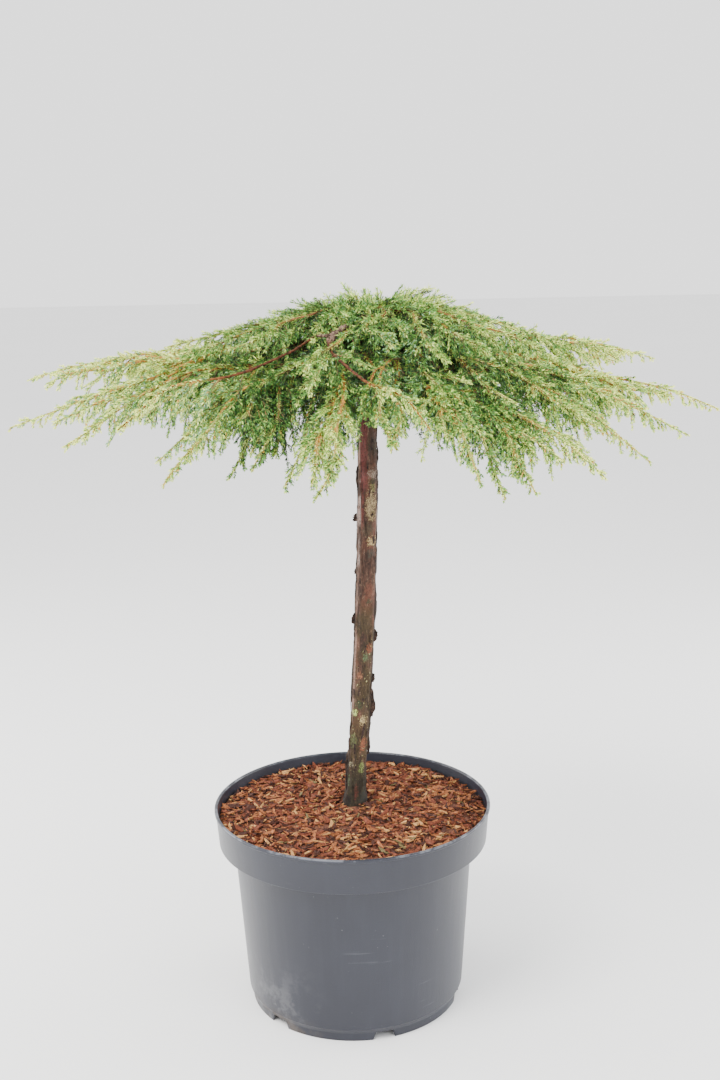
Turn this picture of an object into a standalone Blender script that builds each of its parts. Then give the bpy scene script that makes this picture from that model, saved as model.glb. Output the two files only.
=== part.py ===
# Potted standard carpet juniper: a bare stem with a low umbrella of weeping boughs, in a nursery pot.
# Metres, +Z up. The origin is the middle of the pot's underside, and -Y is the side seen first.

import math
import random

import bmesh
import bpy

# Pot: a moulded container with a deep rim band, a foot ring with notches and a raised floor
POT_HEIGHT = 0.206
LIP_RADIUS = 0.1405
LIP_DEPTH = 0.003
LIP_ROUND = 0.0008
LIP_WIDTH = 0.0033
BAND_TOP_RADIUS = 0.1392
BAND_FOOT_RADIUS = 0.1366
BAND_DEPTH = 0.036
LEDGE_DROP = 0.003
BODY_TOP_RADIUS = 0.1214
BODY_FOOT_RADIUS = 0.1110
FOOT_STEP_RADIUS = 0.1097
FOOT_HEIGHT = 0.0125
FOOT_RADIUS = 0.1075
WALL = 0.0024
FLOOR_RAISE = 0.0085
PAD_RADIUS = 0.060
POT_STEPS = 40
NOTCHES = 6
NOTCH_FIRST_DEG = 15.0
NOTCH_WIDTH = 0.018
NOTCH_HEIGHT = 0.008
DRAIN_RADIUS = 0.005
DRAIN_CIRCLE = 0.092
DRAIN_ROD_LENGTH = 0.008

# Potting mix under a mulch of bark, which is domed up to the stem
GAP = 0.00035
SOIL_EDGE_HEIGHT = 0.1945
SOIL_SEAT_HEIGHT = 0.2015
SEAT_RADIUS = 0.029

# Trunk: its foot, the lean of its stem and the hub where the boughs start
FOOT_X = 0.0035
HUB_X = 0.0222
HUB_Y = 0.010
HUB_HEIGHT = 0.610
TRUNK_TOP = 0.672
FLARE_RADIUS = 0.0134
FLARE_HEIGHT = 0.030
STEM_RADIUS = 0.0109
HUB_RADIUS = 0.0098
TRUNK_POINTS = 15

# Lower boughs, one drooping lobe of foliage each: azimuth from +X in degrees, reach and tip height
LOWER_BOUGHS = {
    "right": (3.0, 0.345, 0.598),
    "right_front_1": (-13.0, 0.304, 0.585),
    "right_front_2": (-28.0, 0.281, 0.571),
    "right_front_3": (-43.0, 0.273, 0.566),
    "front_right_1": (-59.0, 0.263, 0.562),
    "front_right_2": (-73.0, 0.290, 0.582),
    "front": (-86.0, 0.262, 0.590),
    "front_left_1": (-98.0, 0.306, 0.576),
    "front_left_2": (-110.0, 0.235, 0.588),
    "front_left_3": (-126.0, 0.286, 0.576),
    "left_front_1": (-142.0, 0.262, 0.583),
    "left_front_2": (-157.0, 0.295, 0.592),
    "left_1": (-171.0, 0.337, 0.602),
    "left_2": (-189.0, 0.343, 0.635),
    "left_back": (-210.0, 0.322, 0.622),
    "back_left_1": (-231.0, 0.306, 0.606),
    "back_left_2": (-252.0, 0.312, 0.598),
    "back": (-274.0, 0.298, 0.606),
    "back_right_1": (-296.0, 0.316, 0.602),
    "back_right_2": (-318.0, 0.322, 0.618),
    "right_back": (-338.0, 0.326, 0.639),
}
ROOT_LEVELS = (0.604, 0.642, 0.623)
BOUGH_ROOT_RADIUS = 0.0030
BOUGH_END_RADIUS = 0.0021
SHOULDER_REACH = 0.100
SHOULDER_HEIGHT = 0.655
SHOULDER_LIFT = 0.35
LOW_TIP = 0.580
DROOP_POWER = 1.6
LOBE_START = 0.088
COLLAR = 0.006
BOUGH_STOPS = (0.030, 0.048, 0.068)

# Upper boughs: short limbs that carry the cap of foliage over the hub
UPPER_BOUGHS = {
    "right": (0.0, 0.172),
    "front_right": (-62.0, 0.158),
    "front_left": (-121.0, 0.166),
    "left": (-180.0, 0.176),
    "back_left": (-241.0, 0.168),
    "back_right": (-300.0, 0.170),
}
UPPER_ROOT_HEIGHT = 0.660
UPPER_ROOT_RADIUS = 0.0026
UPPER_LOBE_START = 0.040
UPPER_COLLAR_PART = 0.15
UPPER_PARTS = (0.0, UPPER_COLLAR_PART, 0.4, 0.65, 0.85, 1.0)

# Foliage: heights of the cap's surface, the split between the two layers and the lobes' thickness
CAP_HEIGHT = 0.722
CAP_SLOPE = 0.16
CAP_CURVE = 0.45
CAP_SIDE_LIFT = 0.006
LAYER_DEPTH = 0.034
LAYER_REACH = 0.21
LAYER_GAP = 0.002
LAYER_ROOM = 0.006
LOBE_RISE = 0.018
LOBE_HANG = 0.040
TIP_THICKNESS = 0.004
TOP_TUFT_RADIUS = 0.031
SHOOT_RECESS = 0.80
TAPER_SHARE = 0.58
LOBE_SIDES = 8
LOBE_RINGS = 12


def move_to_collection(obj, name):
    """Link an object to one collection only, made when it is first asked for."""
    collection = bpy.data.collections.get(name)
    if collection is None:
        collection = bpy.data.collections.new(name)
        bpy.context.scene.collection.children.link(collection)
    for other in list(obj.users_collection):
        other.objects.unlink(obj)
    collection.objects.link(obj)


def material(name, color, roughness, metallic=0.0):
    """A plain Principled material, made once for each name."""
    found = bpy.data.materials.get(name)
    if found is not None:
        return found
    made = bpy.data.materials.new(name)
    made.use_nodes = True
    shader = made.node_tree.nodes["Principled BSDF"]
    shader.inputs["Base Color"].default_value = (*color, 1.0)
    shader.inputs["Roughness"].default_value = roughness
    shader.inputs["Metallic"].default_value = metallic
    return made


def pot_plastic():
    return material("pot_plastic", (0.115, 0.125, 0.150), 0.45)


def bark_mulch():
    return material("bark_mulch", (0.235, 0.085, 0.045), 0.95)


def potting_mix():
    return material("potting_mix", (0.045, 0.028, 0.020), 0.95)


def stem_bark():
    return material("stem_bark", (0.190, 0.090, 0.060), 0.90)


def bough_bark():
    return material("bough_bark", (0.330, 0.115, 0.055), 0.80)


def needle_green():
    return material("needle_green", (0.150, 0.290, 0.070), 0.75)


def add_part(name, mesh, finish):
    """Put a mesh in the scene as a part of the plant."""
    obj = bpy.data.objects.new(name, mesh)
    bpy.context.scene.collection.objects.link(obj)
    mesh.materials.append(finish)
    move_to_collection(obj, "potted_juniper")
    return obj


def add_turned(name, profile, finish):
    """Turn a profile of (radius, height) points round Z. It runs down the outer side."""
    mesh = bpy.data.meshes.new(name)
    points = [(radius, 0.0, height) for radius, height in profile]
    mesh.from_pydata(points, [(i, i + 1) for i in range(len(points) - 1)], [])
    obj = add_part(name, mesh, finish)
    screw = obj.modifiers.new("turn", "SCREW")
    screw.steps = POT_STEPS
    screw.render_steps = POT_STEPS
    screw.use_merge_vertices = True
    screw.merge_threshold = 0.00001
    screw.use_smooth_shade = True
    return obj


def add_limb(name, points, radii, finish):
    """One tapering limb along world points, with flat ends."""
    curve = bpy.data.curves.new(name, "CURVE")
    curve.dimensions = "3D"
    curve.bevel_depth = 1.0
    curve.bevel_resolution = 1
    curve.use_fill_caps = True
    spline = curve.splines.new("POLY")
    spline.points.add(len(points) - 1)
    for slot, point, radius in zip(spline.points, points, radii):
        slot.co = (*point, 1.0)
        slot.radius = radius
    obj = bpy.data.objects.new(name, curve)
    bpy.context.scene.collection.objects.link(obj)
    curve.materials.append(finish)
    move_to_collection(obj, "potted_juniper")
    return obj


def add_cutter(name, target, mesh, location, turn):
    """A hidden solid that is cut from the target."""
    cutter = bpy.data.objects.new(name, mesh)
    bpy.context.scene.collection.objects.link(cutter)
    cutter.location = location
    cutter.rotation_euler = (0.0, 0.0, turn)
    cutter.hide_render = True
    cutter.display_type = "WIRE"
    move_to_collection(cutter, "cutters")
    cut = target.modifiers.new(name, "BOOLEAN")
    cut.operation = "DIFFERENCE"
    cut.solver = "EXACT"
    cut.object = cutter


def primitive_mesh(name, build):
    """A mesh filled by one of bmesh's primitives."""
    mesh = bpy.data.meshes.new(name)
    shape = bmesh.new()
    build(shape)
    shape.to_mesh(mesh)
    shape.free()
    return mesh


# The pot's wall, from its lip down the outside or down the inside to the floor

def outer_profile():
    band_foot = POT_HEIGHT - BAND_DEPTH
    return [
        (LIP_RADIUS - LIP_WIDTH + LIP_ROUND, POT_HEIGHT),
        (LIP_RADIUS - LIP_ROUND, POT_HEIGHT),
        (LIP_RADIUS, POT_HEIGHT - LIP_ROUND),
        (LIP_RADIUS, POT_HEIGHT - LIP_DEPTH),
        (BAND_TOP_RADIUS, POT_HEIGHT - LIP_DEPTH - LIP_ROUND),
        (BAND_FOOT_RADIUS, band_foot),
        (BODY_TOP_RADIUS, band_foot - LEDGE_DROP),
        (BODY_FOOT_RADIUS, FOOT_HEIGHT + LIP_ROUND),
        (FOOT_STEP_RADIUS, FOOT_HEIGHT),
        (FOOT_RADIUS, 0.0),
    ]


def inner_profile():
    band_foot = POT_HEIGHT - BAND_DEPTH
    floor_top = FLOOR_RAISE + WALL
    return [
        (LIP_RADIUS - LIP_WIDTH, POT_HEIGHT - LIP_ROUND),
        (BAND_FOOT_RADIUS - WALL, band_foot + WALL),
        (BODY_TOP_RADIUS - WALL, band_foot + WALL - LEDGE_DROP),
        (BODY_FOOT_RADIUS - WALL, floor_top),
        (PAD_RADIUS, floor_top),
        (PAD_RADIUS - WALL, WALL),
        (0.0, WALL),
    ]


def underside_profile():
    return [
        (FOOT_RADIUS - WALL, 0.0),
        (FOOT_RADIUS - WALL, FLOOR_RAISE),
        (PAD_RADIUS + WALL, FLOOR_RAISE),
        (PAD_RADIUS, 0.0),
        (0.0, 0.0),
    ]


def build_pot():
    profile = inner_profile()[::-1] + outer_profile() + underside_profile()
    pot = add_turned("pot", profile, pot_plastic())

    def notch_block(shape):
        bmesh.ops.create_cube(shape, size=1.0)
        bmesh.ops.scale(shape, vec=(4.0 * WALL, NOTCH_WIDTH, 2.0 * NOTCH_HEIGHT), verts=shape.verts)

    def drain_rod(shape):
        bmesh.ops.create_cone(
            shape,
            cap_ends=True,
            segments=12,
            radius1=DRAIN_RADIUS,
            radius2=DRAIN_RADIUS,
            depth=DRAIN_ROD_LENGTH,
        )

    notch = primitive_mesh("notch", notch_block)
    drain = primitive_mesh("drain", drain_rod)
    for index in range(NOTCHES):
        turn = math.radians(-90.0 + NOTCH_FIRST_DEG + index * 360.0 / NOTCHES)
        across = (FOOT_RADIUS * math.cos(turn), FOOT_RADIUS * math.sin(turn), 0.0)
        add_cutter(f"notch_{index + 1}", pot, notch, across, turn)
        hole_height = FLOOR_RAISE + 0.5 * WALL
        hole = (DRAIN_CIRCLE * math.cos(turn), DRAIN_CIRCLE * math.sin(turn), hole_height)
        add_cutter(f"drain_{index + 1}", pot, drain, hole, turn)


def build_mulch():
    """The bark inside the rim band, domed up to the stem."""
    inner_foot = BAND_FOOT_RADIUS - WALL
    band_slope = (LIP_RADIUS - LIP_WIDTH - inner_foot) / (BAND_DEPTH - WALL - LIP_ROUND)
    edge_height = SOIL_EDGE_HEIGHT - (POT_HEIGHT - BAND_DEPTH + WALL)
    edge_radius = inner_foot + band_slope * edge_height - GAP
    seat_height = SOIL_SEAT_HEIGHT - GAP
    profile = [(0.0, seat_height), (SEAT_RADIUS, seat_height)]
    for part in (0.25, 0.5, 0.75, 1.0):
        radius = SEAT_RADIUS + (edge_radius - SEAT_RADIUS) * part
        profile.append((radius, seat_height - (seat_height - SOIL_EDGE_HEIGHT) * part ** 1.5))
    for radius, height in inner_profile()[1:3]:
        profile.append((radius - GAP, height + GAP))
    profile.append((0.0, profile[-1][1]))
    add_turned("mulch", profile, bark_mulch())


def build_root_ball():
    """The potting mix inside the pot's body, under the mulch."""
    profile = [(max(radius - GAP, 0.0), height + GAP) for radius, height in inner_profile()[3:]]
    top_radius, top_height = inner_profile()[2]
    add_turned("root_ball", [(0.0, top_height), (top_radius - GAP, top_height), *profile], potting_mix())


# The stem's middle line and thickness at a height, and the limbs that leave it

def stem_centre(height):
    rise = min(1.0, (height - SOIL_SEAT_HEIGHT) / (HUB_HEIGHT - SOIL_SEAT_HEIGHT))
    return (FOOT_X + (HUB_X - FOOT_X) * math.sin(0.5 * math.pi * rise), HUB_Y)


def stem_radius(height):
    rise = (height - SOIL_SEAT_HEIGHT) / (TRUNK_TOP - SOIL_SEAT_HEIGHT)
    flare = max(0.0, 1.0 - (height - SOIL_SEAT_HEIGHT) / FLARE_HEIGHT)
    return STEM_RADIUS + (HUB_RADIUS - STEM_RADIUS) * rise + (FLARE_RADIUS - STEM_RADIUS) * flare ** 2


def build_trunk():
    points = []
    radii = []
    for index in range(TRUNK_POINTS):
        part = (index / (TRUNK_POINTS - 1)) ** 1.35
        height = SOIL_SEAT_HEIGHT + (TRUNK_TOP - SOIL_SEAT_HEIGHT) * part
        points.append((*stem_centre(height), height))
        radii.append(stem_radius(height))
    points[1] = (*points[0][:2], points[1][2])
    trunk = add_limb("trunk", points, radii, stem_bark())
    trunk.data.bevel_resolution = 4


def place(azimuth, reach, height, across=0.0):
    """A world point at a reach from the hub's axis along an azimuth, moved sideways by across."""
    turn = math.radians(azimuth)
    x = HUB_X + reach * math.cos(turn) - across * math.sin(turn)
    y = HUB_Y + reach * math.sin(turn) + across * math.cos(turn)
    return (x, y, height)


def shoulder_height(tip_height):
    return SHOULDER_HEIGHT + SHOULDER_LIFT * (tip_height - LOW_TIP)


def bough_height(azimuth, reach, root_height, full_reach, tip_height):
    """A bough rises from its root to its shoulder, then droops more and more to its tip."""
    shoulder = shoulder_height(tip_height)
    if reach < SHOULDER_REACH:
        part = max(0.0, (reach - HUB_RADIUS) / (SHOULDER_REACH - HUB_RADIUS))
        height = root_height + (shoulder - root_height) * part * part * (3.0 - 2.0 * part)
    else:
        part = (reach - SHOULDER_REACH) / (full_reach - SHOULDER_REACH)
        height = shoulder + (tip_height - shoulder) * part ** DROOP_POWER
    if reach < LAYER_REACH:
        height = min(height, layer_split(azimuth, reach) - LAYER_ROOM)
    return height


def build_lower_bough(name, azimuth, full_reach, tip_height, root_height):
    start = stem_radius(root_height) + GAP
    stops = [start, start + COLLAR, *BOUGH_STOPS, LOBE_START - GAP]
    points = []
    radii = []
    for stop in stops:
        height = bough_height(azimuth, stop, root_height, full_reach, tip_height)
        points.append(place(azimuth, stop, height))
        part = (stop - start) / (LOBE_START - start)
        radii.append(BOUGH_ROOT_RADIUS + (BOUGH_END_RADIUS - BOUGH_ROOT_RADIUS) * part)
    points[0] = place(azimuth, stops[0], root_height)
    points[1] = place(azimuth, stops[1], root_height)
    add_limb(f"bough_{name}", points, radii, bough_bark())


def build_upper_bough(name, azimuth):
    start = stem_radius(UPPER_ROOT_HEIGHT) + GAP
    end_height = layer_middle(azimuth, UPPER_LOBE_START)
    points = []
    radii = []
    for part in UPPER_PARTS:
        stop = start + (UPPER_LOBE_START - GAP - start) * part
        lift = (part - UPPER_COLLAR_PART) / (UPPER_PARTS[-2] - UPPER_COLLAR_PART)
        lift = max(0.0, min(1.0, lift))
        points.append(place(azimuth, stop, UPPER_ROOT_HEIGHT + (end_height - UPPER_ROOT_HEIGHT) * lift))
        radii.append(UPPER_ROOT_RADIUS * (1.0 - 0.3 * part))
    add_limb(f"upper_bough_{name}", points, radii, bough_bark())


# The crown's surfaces

def cap_surface(azimuth, reach):
    bulge = math.sin(math.pi * min(reach / (2.0 * SHOULDER_REACH), 1.0))
    side = CAP_SIDE_LIFT * math.cos(math.radians(azimuth)) * bulge
    return CAP_HEIGHT - CAP_SLOPE * reach - CAP_CURVE * reach * reach + side


def layer_split(azimuth, reach):
    thinning = 1.0 - (reach / LAYER_REACH) ** 2
    return cap_surface(azimuth, reach) - LAYER_DEPTH * max(0.0, thinning)


def layer_middle(azimuth, reach):
    return 0.5 * (cap_surface(azimuth, reach) + layer_split(azimuth, reach))


def sphere_mesh(name):
    """A sphere whose poles become a lobe's inner and outer ends."""
    def build(shape):
        bmesh.ops.create_uvsphere(shape, u_segments=LOBE_SIDES, v_segments=LOBE_RINGS, radius=1.0)
    return primitive_mesh(name, build)


def ring_and_turn(vertex):
    """The ring that a sphere's vertex lies on, from 0 at one pole, and its angle round the axis."""
    ring = round(math.acos(max(-1.0, min(1.0, -vertex.co.z))) / math.pi * LOBE_RINGS)
    turn = math.atan2(vertex.co.y, vertex.co.x)
    return ring, turn


def feathered(part, ring):
    """How wide a lobe is along its length, with side shoots that stand out at every other ring."""
    shoot = 1.0 if ring % 2 else SHOOT_RECESS
    return min(1.0, 9.0 * part) * min(1.0, (1.0 - part) / TAPER_SHARE) ** 0.9 * shoot


def build_lower_lobe(name, azimuth, full_reach, tip_height, root_height, left, right, seed):
    """A drooping pointed lobe inside its own sector, left and right being the sector's half angles."""
    chance = random.Random(seed)
    uneven = [(chance.uniform(0.8, 1.2), chance.uniform(0.75, 1.25)) for _ in range(LOBE_RINGS + 1)]
    mesh = sphere_mesh(f"foliage_{name}")
    for vertex in mesh.vertices:
        ring, turn = ring_and_turn(vertex)
        part = ring / LOBE_RINGS
        reach = LOBE_START + (full_reach - LOBE_START) * part
        middle = bough_height(azimuth, reach, root_height, full_reach, tip_height)
        if ring in (0, LOBE_RINGS):
            vertex.co = place(azimuth, reach, middle)
            continue
        across = math.cos(turn)
        upward = math.sin(turn)
        half_angle = left if across > 0.0 else right
        limit = reach * math.tan(math.radians(half_angle)) - 2.0 * GAP
        width = limit * feathered(part, ring)
        rise_scale, hang_scale = uneven[ring]
        body = math.sin(math.pi * min(1.0, 0.15 + 0.85 * part)) ** 0.8
        rise = TIP_THICKNESS + LOBE_RISE * (1.0 - part) ** 1.5 * rise_scale
        hang = TIP_THICKNESS + LOBE_HANG * body * hang_scale * (1.0 if ring % 2 else 0.75)
        if upward > 0.0:
            room = layer_split(azimuth, reach) - middle
            height = middle + upward * (min(rise, room) if reach < LAYER_REACH else rise)
        else:
            height = middle + upward * hang
        vertex.co = place(azimuth, reach, height, across * width)
    add_part(f"foliage_{name}", mesh, needle_green())


def build_upper_lobe(name, azimuth, full_reach, left, right, seed):
    """A thin lobe of the cap, over the lower layer."""
    chance = random.Random(seed)
    uneven = [chance.uniform(0.7, 1.0) for _ in range(LOBE_RINGS + 1)]
    mesh = sphere_mesh(f"cap_foliage_{name}")
    for vertex in mesh.vertices:
        ring, turn = ring_and_turn(vertex)
        part = ring / LOBE_RINGS
        reach = UPPER_LOBE_START + (full_reach - UPPER_LOBE_START) * part
        middle = layer_middle(azimuth, reach)
        if ring in (0, LOBE_RINGS):
            vertex.co = place(azimuth, reach, middle)
            continue
        across = math.cos(turn)
        upward = math.sin(turn)
        half_angle = left if across > 0.0 else right
        limit = reach * math.tan(math.radians(half_angle)) - 2.0 * GAP
        width = limit * feathered(part, ring)
        floor = layer_split(azimuth, reach) + LAYER_GAP
        if upward > 0.0:
            height = middle + upward * (cap_surface(azimuth, reach) - middle) * uneven[ring]
        else:
            height = middle + upward * (middle - floor)
        vertex.co = place(azimuth, reach, height, across * width)
    add_part(f"cap_foliage_{name}", mesh, needle_green())


def build_top_tuft():
    """The tuft that stands on the trunk's top end."""
    chance = random.Random(5)
    bumps = [chance.uniform(0.85, 1.0) for _ in range(LOBE_SIDES * LOBE_RINGS + 2)]
    mesh = sphere_mesh("cap_foliage_top")
    foot = TRUNK_TOP + GAP
    for vertex, bump in zip(mesh.vertices, bumps):
        ring, turn = ring_and_turn(vertex)
        part = ring / LOBE_RINGS
        height = foot + (CAP_HEIGHT - foot) * part
        radius = 0.0 if ring in (0, LOBE_RINGS) else TOP_TUFT_RADIUS * bump * math.sin(math.pi * part) ** 0.8
        vertex.co = place(math.degrees(turn), radius, height)
    add_part("cap_foliage_top", mesh, needle_green())


def sectors(azimuths):
    """Half the angle to the next row's azimuth on each side, for rows that run clockwise."""
    halves = []
    for index, azimuth in enumerate(azimuths):
        before = azimuths[index - 1] + (360.0 if index == 0 else 0.0)
        after = azimuths[(index + 1) % len(azimuths)] - (360.0 if index == len(azimuths) - 1 else 0.0)
        halves.append((0.5 * (before - azimuth), 0.5 * (azimuth - after)))
    return halves


for old in list(bpy.data.objects):
    bpy.data.objects.remove(old, do_unlink=True)

build_pot()
build_mulch()
build_root_ball()
build_trunk()

lower_sectors = sectors([row[0] for row in LOWER_BOUGHS.values()])
for number, (name, (azimuth, reach, tip_height)) in enumerate(LOWER_BOUGHS.items()):
    root_height = ROOT_LEVELS[number % len(ROOT_LEVELS)]
    left, right = lower_sectors[number]
    build_lower_bough(name, azimuth, reach, tip_height, root_height)
    build_lower_lobe(name, azimuth, reach, tip_height, root_height, left, right, 100 + number)

upper_sectors = sectors([row[0] for row in UPPER_BOUGHS.values()])
for number, (name, (azimuth, reach)) in enumerate(UPPER_BOUGHS.items()):
    left, right = upper_sectors[number]
    build_upper_bough(name, azimuth)
    build_upper_lobe(name, azimuth, reach, left, right, 200 + number)

build_top_tuft()
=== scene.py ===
# The looks of a potted standard carpet juniper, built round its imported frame.
# Metres, +Z up, the origin under the middle of the pot, and -Y towards the side seen first.

import math

import bpy
import mathutils
import numpy as np
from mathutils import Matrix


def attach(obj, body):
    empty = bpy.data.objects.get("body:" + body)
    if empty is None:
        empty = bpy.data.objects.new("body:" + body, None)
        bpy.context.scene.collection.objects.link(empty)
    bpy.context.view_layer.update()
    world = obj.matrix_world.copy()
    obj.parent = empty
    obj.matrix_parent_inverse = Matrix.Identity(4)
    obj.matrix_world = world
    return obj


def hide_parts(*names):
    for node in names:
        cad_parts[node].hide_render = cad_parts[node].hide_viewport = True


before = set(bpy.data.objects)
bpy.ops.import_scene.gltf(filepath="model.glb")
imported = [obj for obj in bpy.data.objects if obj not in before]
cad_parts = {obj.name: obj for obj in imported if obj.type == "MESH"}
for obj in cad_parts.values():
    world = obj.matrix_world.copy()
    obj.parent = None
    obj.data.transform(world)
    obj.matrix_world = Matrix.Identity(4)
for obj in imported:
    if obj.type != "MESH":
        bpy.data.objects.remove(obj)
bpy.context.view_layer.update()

# The camera looks slightly down at the plant from the side seen first, and leans a little.
# A portrait frame puts its sensor size on the taller side.

CAMERA_PLACE = mathutils.Vector((0.013, -1.342, 0.774))
CAMERA_PITCH = math.radians(12.4)
CAMERA_ROLL = math.radians(1.1)
LENS_MM = 46.67

camera_data = bpy.data.cameras.new("camera")
camera_data.lens = LENS_MM
camera_data.sensor_width = 36.0
camera = bpy.data.objects.new("camera", camera_data)
bpy.context.scene.collection.objects.link(camera)
level_right = mathutils.Vector((1.0, 0.0, 0.0))
level_up = mathutils.Vector((0.0, math.sin(CAMERA_PITCH), math.cos(CAMERA_PITCH)))
view_right = math.cos(CAMERA_ROLL) * level_right - math.sin(CAMERA_ROLL) * level_up
view_up = math.sin(CAMERA_ROLL) * level_right + math.cos(CAMERA_ROLL) * level_up
turn = mathutils.Matrix((view_right, view_up, view_right.cross(view_up))).transposed()
camera.matrix_world = mathutils.Matrix.Translation(CAMERA_PLACE) @ turn.to_4x4()
bpy.context.scene.camera = camera

# Studio light: a wide soft panel overhead and to the left, a weaker one in front on the right,
# and a pale world that fills the shade.

WORLD_COLOR = (1.0, 1.0, 1.0, 1.0)
WORLD_STRENGTH = 2.0
PANELS = {
    "key_panel": ((-1.1, -1.2, 2.5), 1.4, 108.0, (1.0, 0.98, 0.94)),
    "fill_panel": ((1.7, -1.6, 1.3), 1.6, 26.0, (0.92, 0.96, 1.0)),
    "left_panel": ((-1.6, 0.5, 0.7), 1.4, 26.0, (1.0, 1.0, 1.0)),
    "right_panel": ((1.6, 0.5, 0.7), 1.4, 26.0, (1.0, 1.0, 1.0)),
}
LIGHT_AIM = mathutils.Vector((0.0, 0.0, 0.45))

world = bpy.data.worlds.new("studio")
world.use_nodes = True
world.node_tree.nodes["Background"].inputs["Color"].default_value = WORLD_COLOR
world.node_tree.nodes["Background"].inputs["Strength"].default_value = WORLD_STRENGTH
bpy.context.scene.world = world
for name, (place, size, power, color) in PANELS.items():
    panel_data = bpy.data.lights.new(name, "AREA")
    panel_data.shape = "DISK"
    panel_data.size = size
    panel_data.energy = power
    panel_data.color = color
    panel = bpy.data.objects.new(name, panel_data)
    bpy.context.scene.collection.objects.link(panel)
    panel.location = place
    panel.rotation_euler = (LIGHT_AIM - mathutils.Vector(place)).to_track_quat("-Z", "Y").to_euler()

# The floor: a plain pale sheet of smooth painted board that only catches the shadow.

FLOOR_COLOR = (0.84, 0.84, 0.84, 1.0)
FLOOR_SIZE = 30.0


class Wire:
    """A socket in a material, so that shader maths reads as plain sums."""

    def __init__(self, tree, socket=None):
        self.tree = tree
        self.socket = socket

    def node(self, kind, settings=None, inputs=None, output=0):
        """Any node: its settings first, then its sockets' values or links."""
        made = self.tree.nodes.new(kind)
        for name, value in (settings or {}).items():
            if name == "stops":
                while len(made.color_ramp.elements) < len(value):
                    made.color_ramp.elements.new(1.0)
                for element, (position, color) in zip(made.color_ramp.elements, value):
                    element.position = position
                    element.color = (*color, 1.0)
            else:
                setattr(made, name, value)
        for key, value in (inputs or {}).items():
            if isinstance(value, Wire):
                self.tree.links.new(value.socket, made.inputs[key])
            else:
                made.inputs[key].default_value = value
        return Wire(self.tree, made.outputs[output])

    def math(self, operation, *values):
        return self.node("ShaderNodeMath", {"operation": operation}, dict(enumerate(values)))

    def __add__(self, other):
        return self.math("ADD", self, other)

    def __sub__(self, other):
        return self.math("SUBTRACT", self, other)

    def __rsub__(self, other):
        return self.math("SUBTRACT", other, self)

    def __mul__(self, other):
        return self.math("MULTIPLY", self, other)

    def __truediv__(self, other):
        return self.math("DIVIDE", self, other)

    def __pow__(self, other):
        return self.math("POWER", self, other)

    __radd__ = __add__
    __rmul__ = __mul__

    def step(self, low, high):
        """A smooth step from 0 at low to 1 at high."""
        settings = {"interpolation_type": "SMOOTHSTEP"}
        return self.node("ShaderNodeMapRange", settings, {"Value": self, "From Min": low, "From Max": high})

    def stretched(self, *factors):
        """A place with its three axes scaled."""
        return self.node("ShaderNodeVectorMath", {"operation": "MULTIPLY"}, {0: self, 1: factors})

    def noise(self, scale, detail=3.0, roughness=0.5):
        """Cloudy noise at this place."""
        return self.node("ShaderNodeTexNoise", None,
                         {"Vector": self, "Scale": scale, "Detail": detail, "Roughness": roughness})

    def mixed(self, first, second):
        """A colour between two others, with this value as the mask."""
        return self.node("ShaderNodeMix", {"data_type": "RGBA"}, {0: self, 6: first, 7: second}, 2)


def start_finish(name):
    """A new material's shader and the place on the surface."""
    made = bpy.data.materials.new(name)
    made.use_nodes = True
    tree = made.node_tree
    place = Wire(tree).node("ShaderNodeTexCoord", None, None, "Object")
    return made, tree.nodes["Principled BSDF"], place


def feed(shader, **values):
    """Set a shader's sockets by name, with spaces written as underscores."""
    for name, value in values.items():
        socket = shader.inputs[name.replace("_", " ")]
        if isinstance(value, Wire):
            value.tree.links.new(value.socket, socket)
        else:
            socket.default_value = value


def relief(height, distance, strength=1.0):
    """A normal from a height."""
    return height.node("ShaderNodeBump", None, {"Strength": strength, "Distance": distance, "Height": height})


floor_mesh = bpy.data.meshes.new("floor")
half = 0.5 * FLOOR_SIZE
corners = [(-half, -half, 0.0), (half, -half, 0.0), (half, half, 0.0), (-half, half, 0.0)]
floor_mesh.from_pydata(corners, [], [(0, 1, 2, 3)])
floor = bpy.data.objects.new("floor", floor_mesh)
bpy.context.scene.collection.objects.link(floor)
floor_paint, shader, place = start_finish("floor_paint")
cloud = place.noise(1.5)
feed(shader, Base_Color=cloud.mixed(FLOOR_COLOR, (0.87, 0.87, 0.87, 1.0)), Roughness=0.8)
floor_mesh.materials.append(floor_paint)

# The pot: a round container of slate-grey polypropylene, blow-moulded in one piece, with a rolled lip,
# a deep band for the hands, a tapering body and a foot ring with drain notches. It stands on the foot.

POT_HEIGHT = 0.206
LIP_RADIUS = 0.1405
LIP_WIDTH = 0.0033
LIP_DEPTH = 0.003
BAND_TOP_RADIUS = 0.1392
BAND_FOOT_RADIUS = 0.1366
BAND_DEPTH = 0.036
LEDGE_DROP = 0.003
BODY_TOP_RADIUS = 0.1214
BODY_FOOT_RADIUS = 0.1110
FOOT_STEP_RADIUS = 0.1097
FOOT_HEIGHT = 0.0125
FOOT_RADIUS = 0.1075
POT_WALL = 0.0024
FLOOR_RAISE = 0.0085
PAD_RADIUS = 0.060
NOTCHES = 6
NOTCH_FIRST_DEG = 15.0
NOTCH_WIDTH = 0.018
NOTCH_HEIGHT = 0.008
POT_STEPS = 240
POT_GREY = (0.0076, 0.0088, 0.0176, 1.0)
POT_PALE = (0.024, 0.027, 0.041, 1.0)
# Near-black painted shade for the pot's inner wall.
POT_INSIDE_SHADE = (0.004, 0.003, 0.003, 1.0)
POT_DIRT = (0.070, 0.050, 0.034, 1.0)
# A pale grey for worn marks on the lip and for painted highlights on the lip and at the band's foot.
POT_WORN_AND_HIGHLIGHT = (0.160, 0.170, 0.200, 1.0)


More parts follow.
